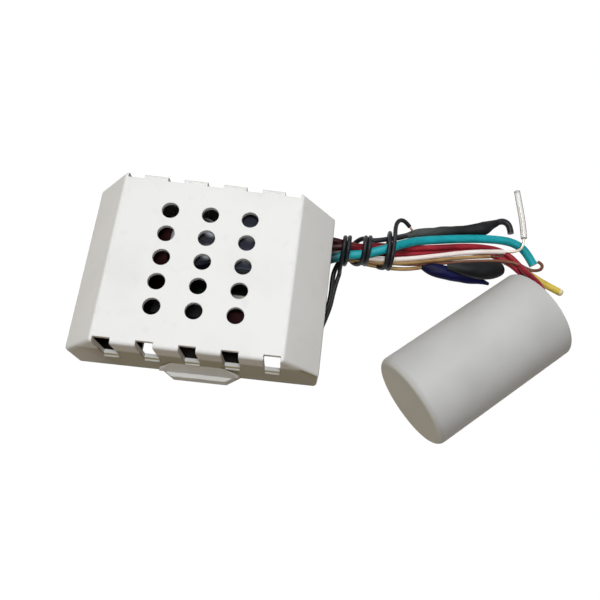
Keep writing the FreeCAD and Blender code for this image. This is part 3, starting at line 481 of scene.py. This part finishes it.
FINISHES = {
    # The shell's marks are painted shade on its inner floor and front wall
    "shell_white": moulded("shell_white", (238, 238, 236), (231, 231, 228), (paint(222, 222, 220), 0.3),
                           0.42, 0.12, 0.0004, 0.000012, shell_painted_shade),
    "board_green": board_green(),
    "screw_steel": metal("screw_steel", (188, 188, 190), (158, 158, 162), 0.25),
    "relay_case": relay_case(),
    "electrolytic_sleeve": electrolytic_sleeve(),
    "film_case": board_case("film_case", (34, 7, 9), (26, 5, 7), 0.6, 0.08, 0.0005, 0.00004),
    "chip_case": board_case("chip_case", (30, 30, 32), (22, 22, 24), 0.5, 0.15, 0.0001, 0.00003),
    "varistor_coat": board_case("varistor_coat", (36, 74, 132), (28, 62, 118), 0.3, 0.5, 0.0005, 0.00005),
    "fuse_glass": glass_tube(),
    "plated_metal": metal("plated_metal", (206, 202, 192), (176, 172, 162), 0.24),
    "resistor_coat": resistor_coat(),
    "capacitor_case": capacitor_case(),
    "potting_resin": potting_resin(),
    "winding_film": winding_film(),
    "teal_vinyl": vinyl("teal_vinyl", (34, 170, 180), (22, 144, 154)),
    # The red leads' painted shade reaches further from the box
    "red_vinyl": vinyl("red_vinyl", (160, 40, 52), (118, 22, 34), painted_shade_to=0.056),
    "black_vinyl": vinyl("black_vinyl", (24, 25, 31), (13, 14, 18), 0.4, 0.28),
    "white_vinyl": vinyl("white_vinyl", (255, 247, 243), (244, 230, 222)),
    "yellow_vinyl": vinyl("yellow_vinyl", (232, 210, 96), (208, 182, 72)),
    "tan_vinyl": vinyl("tan_vinyl", (178, 146, 98), (138, 106, 68)),
    "brown_vinyl": vinyl("brown_vinyl", (134, 88, 68), (94, 56, 42)),
    "tinned_copper": metal("tinned_copper", (232, 220, 206), (206, 186, 166), 0.22, ALONG_WIRE),
    "clear_vinyl": clear_vinyl(),
    "black_sleeve": shrunk("black_sleeve", (28, 29, 31), (17, 17, 19), (78, 82, 81)),
    "blue_sleeve": shrunk("blue_sleeve", (14, 16, 66), (7, 8, 36)),
}

# Finishes of lead ends, used instead of their slot's own
AGED = metal("aged_strand", (120, 112, 100), (84, 76, 66), 0.4, ALONG_WIRE)
COPPER = metal("copper_strand", (206, 166, 148), (150, 108, 92), 0.2, ALONG_WIRE)
CREAM = vinyl("cream_end", (240, 230, 188), (226, 212, 150))


def dress(piece, slot, material=None):
    """Gives a piece its slot, with the slot's own finish or another."""
    piece.data.materials.clear()
    piece.data.materials.append(material or FINISHES[slot])


# Leads: each is one smooth line shaped by its route, from inside the box to its end

TEAL_ROUTE = [
    (0.02883, 0.01079, 0.00743), (0.036, 0.014, 0.0066), (0.0415, 0.0164, 0.007), (0.045, 0.0167, 0.0071),
    (0.0487, 0.0174, 0.0078), (0.0553, 0.02, 0.0085), (0.0593, 0.0222, 0.0074), (0.064, 0.0248, 0.0056),
    (0.073, 0.0275, 0.0036), (0.082, 0.0294, 0.0027), (0.09, 0.0306, 0.002), (0.096, 0.0308, 0.0018),
    (0.1, 0.0297, 0.0018), (0.103, 0.0273, 0.0017), (0.1054, 0.0231, 0.0015),
]
REAR_RED_ROUTE = [
    (0.02857, 0.01985, 0.0086), (0.0356, 0.0205, 0.0083), (0.041, 0.02, 0.0074), (0.046, 0.0203, 0.0053),
    (0.0515, 0.0218, 0.0052), (0.057, 0.0219, 0.0049), (0.0642, 0.0227, 0.0042), (0.073, 0.0245, 0.0038),
    (0.082, 0.0262, 0.0036), (0.088, 0.0267, 0.0032), (0.0932, 0.0264, 0.003), (0.097, 0.024, 0.0036),
    (0.0992, 0.0212, 0.0044), (0.1004, 0.0179, 0.0072), (0.1019, 0.0149, 0.0099),
    (0.1032, 0.0115, 0.0126), (0.10374, 0.00818, 0.0144), (0.10303, 0.00498, 0.0158),
    (0.10098, 0.00275, 0.016), (0.09875, 0.00089, 0.016),
]
FRONT_RED_ROUTE = [
    (0.0293, 0.01597, 0.0098), (0.035, 0.0176, 0.008), (0.0405, 0.0184, 0.0089), (0.0455, 0.0189, 0.0067),
    (0.0495, 0.0194, 0.005), (0.055, 0.0196, 0.0038), (0.0608, 0.0205, 0.0032), (0.066, 0.0217, 0.0029),
    (0.0732, 0.0232, 0.0026), (0.08, 0.0245, 0.0025), (0.0868, 0.025, 0.0026), (0.0931, 0.0237, 0.0032),
    (0.0966, 0.0218, 0.0033), (0.0992, 0.0198, 0.0034), (0.101, 0.0169, 0.0052), (0.1021, 0.0131, 0.0086),
    (0.1026, 0.0096, 0.0112), (0.10203, 0.00649, 0.0126), (0.101, 0.00303, 0.0134),
    (0.09862, 0.00105, 0.0134),
]
BLACK_ROUTE = [
    (0.0215, -0.0012, 0.0028), (0.0278, -0.0025, 0.0028), (0.0334, -0.004, 0.0026),
    (0.0373, -0.002, 0.003), (0.038, 0.004, 0.0028), (0.0379, 0.0082, 0.0026), (0.0382, 0.0124, 0.0022),
    (0.0402, 0.0172, 0.0017), (0.0436, 0.0224, 0.0026), (0.0462, 0.0236, 0.0056),
    (0.0482, 0.0218, 0.0082), (0.051, 0.0222, 0.008), (0.0545, 0.0234, 0.0076), (0.0585, 0.0248, 0.0064),
    (0.0624, 0.0276, 0.0044), (0.0644, 0.0287, 0.0035),
]
WHITE_ROUTE = [
    (0.02844, 0.0184, 0.00729), (0.035, 0.017, 0.0056), (0.0413, 0.0179, 0.0046),
    (0.0465, 0.0172, 0.0048), (0.052, 0.0166, 0.0054), (0.0579, 0.0174, 0.0055), (0.0643, 0.0189, 0.005),
    (0.0727, 0.0211, 0.0048), (0.0811, 0.0231, 0.0051), (0.0875, 0.0243, 0.005), (0.0944, 0.0253, 0.0046),
]
YELLOW_ROUTE = [
    (0.02851, 0.02289, 0.00716), (0.035, 0.0208, 0.005), (0.0414, 0.0204, 0.0034),
    (0.049, 0.0198, 0.0024), (0.057, 0.0214, 0.0016), (0.066, 0.0236, 0.0013), (0.075, 0.0256, 0.00125),
    (0.084, 0.0268, 0.00125), (0.092, 0.0252, 0.00125), (0.098, 0.0224, 0.0013), (0.1032, 0.0199, 0.0014),
    (0.108, 0.0172, 0.00155), (0.1119, 0.0155, 0.00145), (0.1147, 0.0144, 0.00135),
]
LONG_TAN_ROUTE = [
    (0.02832, 0.01567, 0.00748), (0.0346, 0.0162, 0.0044), (0.0412, 0.0166, 0.0044),
    (0.0462, 0.016, 0.0044), (0.0515, 0.0155, 0.0048), (0.0561, 0.016, 0.0048), (0.0617, 0.0172, 0.0044),
    (0.0674, 0.0185, 0.0041), (0.073, 0.0199, 0.004), (0.0788, 0.0212, 0.0041), (0.0841, 0.0223, 0.0042),
    (0.0895, 0.0231, 0.0043),
]
SHORT_TAN_ROUTE = [
    (0.02727, 0.01268, 0.00866), (0.0336, 0.0152, 0.0034), (0.0414, 0.0166, 0.0028),
    (0.0464, 0.0158, 0.0028), (0.0517, 0.0152, 0.003), (0.0564, 0.0151, 0.003), (0.0611, 0.0155, 0.0027),
    (0.0652, 0.0165, 0.0023), (0.068, 0.0175, 0.0021),
]
BROWN_ROUTE = [
    (0.02847, 0.01978, 0.00674), (0.0348, 0.0188, 0.0044), (0.0413, 0.0188, 0.0034),
    (0.0463, 0.0175, 0.0034), (0.0517, 0.0168, 0.0034), (0.057, 0.0168, 0.0032), (0.0623, 0.0172, 0.003),
    (0.0676, 0.018, 0.0031), (0.0731, 0.0191, 0.0028), (0.0815, 0.0206, 0.0036), (0.0875, 0.0212, 0.0044),
    (0.0927, 0.0217, 0.0049), (0.0967, 0.0216, 0.0052), (0.0997, 0.0206, 0.0056),
    (0.1031, 0.0203, 0.0036), (0.1062, 0.0211, 0.0015), (0.1084, 0.0221, 0.0013), (0.1086, 0.024, 0.0014),
    (0.107, 0.0245, 0.0016),
]
WHITE_BARE_ROUTE = [
    (0.09438, 0.02529, 0.0046), (0.09654, 0.02546, 0.0047), (0.09853, 0.02593, 0.0049),
    (0.10011, 0.02725, 0.0048), (0.10077, 0.02937, 0.0048), (0.10101, 0.03121, 0.0046),
]
CLEAR_SLEEVE_ROUTE = [
    (0.10101, 0.03121, 0.0046), (0.10056, 0.03733, 0.0046), (0.09953, 0.04338, 0.0045),
    (0.09863, 0.04893, 0.0044),
]
HOOK_ROUTE = [
    (0.09215, 0.03709, 0.0018), (0.09376, 0.03812, 0.0017), (0.09574, 0.03798, 0.0016),
    (0.09713, 0.03645, 0.0015), (0.09747, 0.03402, 0.0014),
]
ANTENNA_ROUTE = [
    (0.0185, -0.0146, 0.0031), (0.0235, -0.0182, 0.0027), (0.0296, -0.0176, 0.0026),
    (0.0342, -0.0138, 0.0028), (0.0381, -0.0012, 0.0018), (0.0387, 0.0045, 0.0013),
    (0.0394, 0.0089, 0.0014), (0.0401, 0.0116, 0.0022),
]
TAIL_ROUTE = [
    (0.05634, 0.02687, 0.01), (0.05692, 0.02909, 0.0096), (0.05836, 0.03029, 0.0089),
    (0.06008, 0.02994, 0.008), (0.06139, 0.02902, 0.007),
]

# Sleeves: points along each one, with its radius there
SPLICE_SLEEVE_STATIONS = [
    (0.05789, 0.02528, 0.0061, 0.00074), (0.06068, 0.02655, 0.0051, 0.001),
    (0.06317, 0.02791, 0.004, 0.0012), (0.066, 0.0293, 0.0031, 0.00145),
    (0.06911, 0.03001, 0.0028, 0.00155), (0.07291, 0.03091, 0.0026, 0.0016),
    (0.07707, 0.03179, 0.0024, 0.00165), (0.08126, 0.03272, 0.0022, 0.00175),
    (0.08504, 0.03356, 0.0023, 0.00205), (0.08781, 0.03433, 0.00235, 0.0022),
    (0.09031, 0.03593, 0.0021, 0.0016), (0.0925, 0.03721, 0.0018, 0.00115),
]
BLUE_SLEEVE_STATIONS = [
    (0.067, 0.01748, 0.0021, 0.001), (0.06987, 0.01701, 0.0022, 0.00195),
    (0.07391, 0.01637, 0.0024, 0.0023), (0.07869, 0.01587, 0.0023, 0.0022),
    (0.08356, 0.01542, 0.0019, 0.0018), (0.08715, 0.01509, 0.0013, 0.00115),
    (0.09024, 0.0147, 0.0007, 0.0005),
]
END_CAP_STATIONS = [
    (0.07484, 0.01715, 0.0054, 0.0008), (0.07814, 0.01706, 0.0056, 0.0016),
    (0.08182, 0.01689, 0.0056, 0.0023), (0.08529, 0.01714, 0.0052, 0.00275),
    (0.08879, 0.01786, 0.0047, 0.00285), (0.09165, 0.01871, 0.0042, 0.0026),
    (0.09337, 0.0193, 0.0039, 0.002), (0.09408, 0.01954, 0.0038, 0.0011),
]

# The antenna's turns round the bundle: three pairs, with a longer step between pairs
TURN_START = math.radians(45)
TURN_END = math.radians(90 + 5 * 360)
TURN_POINTS = 12
PAIR_ENDS = (2, 4)
PAIR_STEPS = (0.0037, 0.0048)
WRAP_FIRST = 0.04025
WRAP_PITCH = 0.00147
WRAP_ACROSS = 0.00425
WRAP_WIDENING = 0.00175
WRAP_TALL = 0.0052
WRAP_RISE = 0.0060
BUNDLE_BACK = 0.0182
BUNDLE_SLANT = 0.13
BUNDLE_FROM = 0.042

# Distances along the antenna before and after its turns, which keep the joins smooth
CLIMB_FAR = 0.0054
LEAVE_FAR = 0.0036
TURN_NEAR = 0.0014

# The small angle either side over which a turn's heading is taken
SMALL_TURN = 0.01


def turn_place(angle, widen=1.0):
    """A point of the turns. An angle of 90 degrees is over the bundle, in the first turn."""
    quarter = math.radians(90)
    turns = (angle - quarter) / math.tau
    steps = []
    for turns_before in PAIR_ENDS:
        low = math.tau * turns_before - quarter
        steps.append(min(max((angle - low) / quarter, 0.0), 1.0))
    x = WRAP_FIRST + WRAP_PITCH * turns + sum(share * step for share, step in zip(steps, PAIR_STEPS))
    across = (WRAP_ACROSS + WRAP_WIDENING * steps[-1]) * widen
    y = BUNDLE_BACK + BUNDLE_SLANT * (x - BUNDLE_FROM) - across * math.cos(angle)
    return Vector((x, y, WRAP_RISE + WRAP_TALL * widen * math.sin(angle)))


def turn_heading(angle):
    """The way the antenna heads at an angle of its turns."""
    return (turn_place(angle + SMALL_TURN) - turn_place(angle - SMALL_TURN)).normalized()


def antenna_route():
    """From the box, along the floor, up into the turns, and off them in the looped tail."""
    count = round((TURN_END - TURN_START) / math.tau * TURN_POINTS)
    gap = (TURN_END - TURN_START) / count
    widen = 1 / math.cos(gap / 2)
    start = turn_place(TURN_START)
    over = turn_place(TURN_END)
    heading = turn_heading(TURN_START)
    leaving = turn_heading(TURN_END)
    climb = [start - heading * CLIMB_FAR, start - heading * TURN_NEAR]
    turns = [turn_place(TURN_START + k * gap, widen) for k in range(1, count)]
    leave = [over + leaving * TURN_NEAR, over + leaving * LEAVE_FAR]
    return ANTENNA_ROUTE + climb + turns + leave + TAIL_ROUTE


# Makers of pieces

def add_piece(name, data, slot, nodes, material):
    """A piece on the receiver's body. It takes the place of the nodes that are named."""
    piece = bpy.data.objects.new(name, data)
    bpy.context.scene.collection.objects.link(piece)
    dress(piece, slot, material)
    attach(piece, "receiver")
    if nodes:
        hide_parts(*nodes)
    return piece


def wire(name, route, thick, slot, *nodes):
    """A round wire on a smooth line that the route's points pull into shape."""
    curve = bpy.data.curves.new(name, "CURVE")
    curve.dimensions = "3D"
    curve.bevel_depth = thick / 2
    curve.bevel_resolution = 7
    curve.resolution_u = 12
    curve.use_fill_caps = True
    line = curve.splines.new("NURBS")
    line.points.add(len(route) - 1)
    for point, place in zip(line.points, route):
        point.co = (*place, 1.0)
    line.order_u = 3
    line.use_endpoint_u = True
    return add_piece(name, curve, slot, nodes, None)


def solid(name, mesh, slot, *nodes, material=None):
    """A smooth-shaded piece from a finished mesh."""
    data = bpy.data.meshes.new(name)
    bmesh.ops.recalc_face_normals(mesh, faces=mesh.faces)
    mesh.to_mesh(data)
    mesh.free()
    data.polygons.foreach_set("use_smooth", [True] * len(data.polygons))
    return add_piece(name, data, slot, nodes, material)


def circle(count):
    """Angles evenly round a circle."""
    return [math.tau * k / count for k in range(count)]


def side_of(heading):
    """Two directions square to the heading, the second one as upright as it can be."""
    side = heading.cross(Vector((0, 0, 1)))
    side = side.normalized() if side.length > 1e-4 else Vector((1, 0, 0))
    return side, side.cross(heading).normalized()


def add_skin(mesh, rings):
    """A closed skin through rings, each a list of as many points."""
    rows = [[mesh.verts.new(point) for point in ring] for ring in rings]
    around = len(rows[0])
    for before, after in zip(rows, rows[1:]):
        for k in range(around):
            mesh.faces.new((before[k], before[(k + 1) % around], after[(k + 1) % around], after[k]))
    mesh.faces.new(list(reversed(rows[0])))
    mesh.faces.new(rows[-1])


def end_of(route):
    """The last point of a route, and the heading there."""
    end = Vector(route[-1])
    return end, (end - Vector(route[-2])).normalized()


STATION_STEPS = 10


def smooth_stations(stations):
    """More stations between the given ones, on a curve through them."""
    points = [Vector(station) for station in stations]
    out = []
    for k in range(len(points) - 1):
        a, b, c, d = points[max(k - 1, 0)], points[k], points[k + 1], points[min(k + 2, len(points) - 1)]
        for j in range(STATION_STEPS):
            t = j / STATION_STEPS
            out.append(0.5 * (2 * b + (c - a) * t + (2 * a - 5 * b + 4 * c - d) * t * t
                              + (3 * b - 3 * c + d - a) * t * t * t))
    out.append(points[-1])
    return out


SLEEVE_SIDES = 28
WRINKLE_FINENESS = 260
WRINKLE_ROUND = 1.1


def sleeve_skin(stations, flat, wrinkle=0.0001, seed=0.0):
    """A skin through stations, each a point and a radius, with its section a little flat and wrinkled."""
    rows = smooth_stations(stations)
    rings = []
    for k, row in enumerate(rows):
        centre = row.xyz
        heading = (rows[min(k + 1, len(rows) - 1)].xyz - rows[max(k - 1, 0)].xyz).normalized()
        side, lift = side_of(heading)
        ring = []
        for angle in circle(SLEEVE_SIDES):
            spot = centre * WRINKLE_FINENESS
            spot += Vector((math.cos(angle), math.sin(angle), seed)) * WRINKLE_ROUND
            radius = row.w + wrinkle * noise.noise(spot) * 2
            ring.append(centre + side * (radius * math.cos(angle) / flat ** 0.5)
                        + lift * (radius * math.sin(angle) * flat ** 0.5))
        rings.append(ring)
    mesh = bmesh.new()
    add_skin(mesh, rings)
    return mesh


# Bare strands: their radius as a share of the lead's, and how many of their own radii keep them apart
STRAND_SHARE = 0.19
STRANDS_APART = 2.02
STRANDS_ROUND_MIDDLE = 6
STRAND_SIDES = 10
STRAND_ROOT = -0.0008


def strand_end(name, route, radius, material=COPPER, reach=0.0006):
    """The cut end of a lead: seven bare strands, which stand out of their cover by up to the reach."""
    end, heading = end_of(route)
    side, lift = side_of(heading)
    strand = radius * STRAND_SHARE
    places = [Vector((0, 0, 0))]
    for angle in circle(STRANDS_ROUND_MIDDLE):
        places.append(Vector((math.cos(angle), math.sin(angle), 0)) * strand * STRANDS_APART)
    mesh = bmesh.new()
    for k, offset in enumerate(places):
        centre = end + side * offset.x + lift * offset.y
        out = reach * (0.7 + 0.3 * noise.noise(Vector((k * 3.7, 1.3, 0.4))))
        rings = []
        for along, share in ((STRAND_ROOT, 1.0), (out * 0.7, 1.0), (out * 0.92, 0.75), (out, 0.35)):
            middle = centre + heading * along
            rings.append([middle + (side * math.cos(angle) + lift * math.sin(angle)) * strand * share
                          for angle in circle(STRAND_SIDES)])
        add_skin(mesh, rings)
    return solid(name, mesh, "tinned_copper", material=material)


# The yellow end's profile: distances past the route's end, with shares of the lead's radius
ROUND_END = ((-0.0006, 1.01), (0.0, 1.0), (0.00045, 0.86), (0.0008, 0.5), (0.00092, 0.12))


def round_end(name, route, radius):
    """The yellow lead's rounded, paler end."""
    end, heading = end_of(route)
    stations = [(*(end + heading * along), radius * share) for along, share in ROUND_END]
    return solid(name, sleeve_skin(stations, 1.0, 0.0), "yellow_vinyl", material=CREAM)


# Teal, reds, yellow, long tan and brown
teal = wire("teal_lead", TEAL_ROUTE, 0.0029, "teal_vinyl", "teal_wire")
teal_end = strand_end("teal_strands", TEAL_ROUTE, 0.00145, reach=0.0002)
rear_red = wire("rear_red_cable", REAR_RED_ROUTE, 0.0020, "red_vinyl", "rear_red_lead")
front_red = wire("front_red_cable", FRONT_RED_ROUTE, 0.0020, "red_vinyl", "front_red_lead")
yellow = wire("yellow_lead", YELLOW_ROUTE, 0.0024, "yellow_vinyl", "yellow_wire")
yellow_end = round_end("yellow_end", YELLOW_ROUTE, 0.0012)
long_tan = wire("long_tan_lead", LONG_TAN_ROUTE, 0.0013, "tan_vinyl", "long_tan_wire")
long_tan_end = strand_end("long_tan_strands", LONG_TAN_ROUTE, 0.00032, AGED, 0.0060)
brown = wire("brown_lead", BROWN_ROUTE, 0.0011, "brown_vinyl", "brown_wire")
brown_end = strand_end("brown_strands", BROWN_ROUTE, 0.00055)

# White lead, its bare end, and the clear sleeve past it with a wire inside
white = wire("white_lead", WHITE_ROUTE, 0.0016, "white_vinyl", "white_wire")
bare = wire("white_bare_wire", WHITE_BARE_ROUTE, 0.0009, "tinned_copper", "white_bare_end")
clear = wire("clear_tube", CLEAR_SLEEVE_ROUTE, 0.0021, "clear_vinyl", "clear_sleeve")
inner = wire("wire_in_clear_tube", CLEAR_SLEEVE_ROUTE[:3], 0.0006, "tinned_copper")

# Black lead into the upper splice, and the hooked wire that leaves the sleeve
black = wire("black_cable", BLACK_ROUTE, 0.0016, "black_vinyl", "black_lead")
upper_sleeve = solid("upper_sleeve", sleeve_skin(SPLICE_SLEEVE_STATIONS, 0.92), "black_sleeve",
                     "splice_sleeve")
hook = wire("hook_end", HOOK_ROUTE, 0.0022, "black_vinyl", "hook_wire")

# Short tan wire into the lower splice: a blue sleeve with a drawn-out tail, and the black cap on it
short_tan = wire("short_tan_lead", SHORT_TAN_ROUTE, 0.0013, "tan_vinyl", "short_tan_wire")
lower_sleeve = solid("lower_sleeve", sleeve_skin(BLUE_SLEEVE_STATIONS, 0.9, seed=3.0), "blue_sleeve",
                     "blue_sleeve")
black_cap = solid("black_cap", sleeve_skin(END_CAP_STATIONS, 0.92, seed=7.0), "black_sleeve", "end_cap")

# Antenna, with the strands at its tip
antenna = wire("antenna", antenna_route(), 0.0014, "black_vinyl", "antenna_lead", "antenna_wrap",
               "antenna_tail")
tip = strand_end("antenna_strands", TAIL_ROUTE, 0.00075, reach=0.0024)
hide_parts("antenna_tip")


# The other solids keep their shapes and get their finishes from the record's slots

NODE_SLOTS = {
    "cover": "shell_white",
    "base_shell": "shell_white",
    "circuit_board": "board_green",
    "board_screws": "screw_steel",
    "relay": "relay_case",
    "electrolytic_large": "electrolytic_sleeve",
    "electrolytic_small": "electrolytic_sleeve",
    "film_capacitor_1": "film_case",
    "film_capacitor_2": "film_case",
    "varistor": "varistor_coat",
    "fuse": "fuse_glass",
    "fuse_clips": "plated_metal",
    "rectifier": "chip_case",
    "control_chip": "chip_case",
    "radio_board": "board_green",
    "radio_crystal": "plated_metal",
    "resistors": "resistor_coat",
    "capacitor_can": "capacitor_case",
    "capacitor_potting": "potting_resin",
    "capacitor_winding": "winding_film",
}
for node, slot in NODE_SLOTS.items():
    dress(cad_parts[node], slot)

# The nodes that the pieces above replace aren't shown, and all take one slot
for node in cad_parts:
    if node not in NODE_SLOTS:
        dress(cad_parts[node], "black_vinyl")


# Floor, backdrop and lights

FLOOR_HALF = 3
FLOOR_HEIGHT = -0.00005
FLOOR_GLOW = 1.03
FLOOR_GLOW_SHARE = 0.96
ROOM_LIGHT = 0.02


def make_floor():
    """A pale floor that keeps a soft shadow and sends a warmer, dimmer light back up."""
    finish = Finish("floor")
    pale = finish.add("ShaderNodeBsdfDiffuse", inputs={"Color": (0.9, 0.9, 0.9, 1)})
    glow = finish.add("ShaderNodeEmission", inputs={"Color": (1, 1, 1, 1), "Strength": FLOOR_GLOW})
    warm = finish.add("ShaderNodeBsdfDiffuse", inputs={"Color": paint(150, 126, 80)})
    shown = finish.mixed(FLOOR_GLOW_SHARE, pale, glow)
    finish.end_in("ShaderNodeOutputMaterial", finish.mixed(finish.shown_rays(), warm, shown))
    mesh = bmesh.new()
    for x, y in ((-1, -1), (1, -1), (1, 1), (-1, 1)):
        mesh.verts.new((x * FLOOR_HALF, y * FLOOR_HALF, FLOOR_HEIGHT))
    mesh.faces.new(mesh.verts)
    data = bpy.data.meshes.new("floor")
    mesh.to_mesh(data)
    mesh.free()
    data.materials.append(finish.material)
    floor = bpy.data.objects.new("floor", data)
    bpy.context.scene.collection.objects.link(floor)


def make_world():
    """A light backdrop past the floor's edge, and a faint light from all round."""
    world = bpy.data.worlds.new("room")
    bpy.context.scene.world = world
    world.use_nodes = True
    room = Shading(world.node_tree)
    dim = room.add("ShaderNodeBackground", inputs={"Color": (0.97, 0.98, 1.0, 1), "Strength": ROOM_LIGHT})
    bright = room.add("ShaderNodeBackground", inputs={"Strength": 1.0})
    room.end_in("ShaderNodeOutputWorld", room.mixed(room.shown_rays(), dim, bright))


def make_lamp(name, place, target, width, power, colour=(1, 1, 1)):
    data = bpy.data.lights.new(name, "AREA")
    data.shape = "DISK"
    data.size = width
    data.energy = power
    data.color = colour
    lamp = bpy.data.objects.new(name, data)
    lamp.location = place
    lamp.rotation_euler = (Vector(target) - Vector(place)).to_track_quat("-Z", "Y").to_euler()
    bpy.context.scene.collection.objects.link(lamp)


make_floor()
make_world()
make_lamp("key", place=(-0.03, 0.315, 0.675), target=(0.03, 0, 0), width=0.24, power=2.62)
make_lamp("top", place=(0.05, -0.085, 0.45), target=(0.02, -0.01, 0), width=0.08, power=0.98)
make_lamp("left", place=(-0.52, -0.13, 0.10), target=(0.05, -0.03, 0.015), width=0.10, power=0.30,
          colour=(1.0, 0.97, 0.92))
bpy.context.scene.view_settings.view_transform = "Standard"
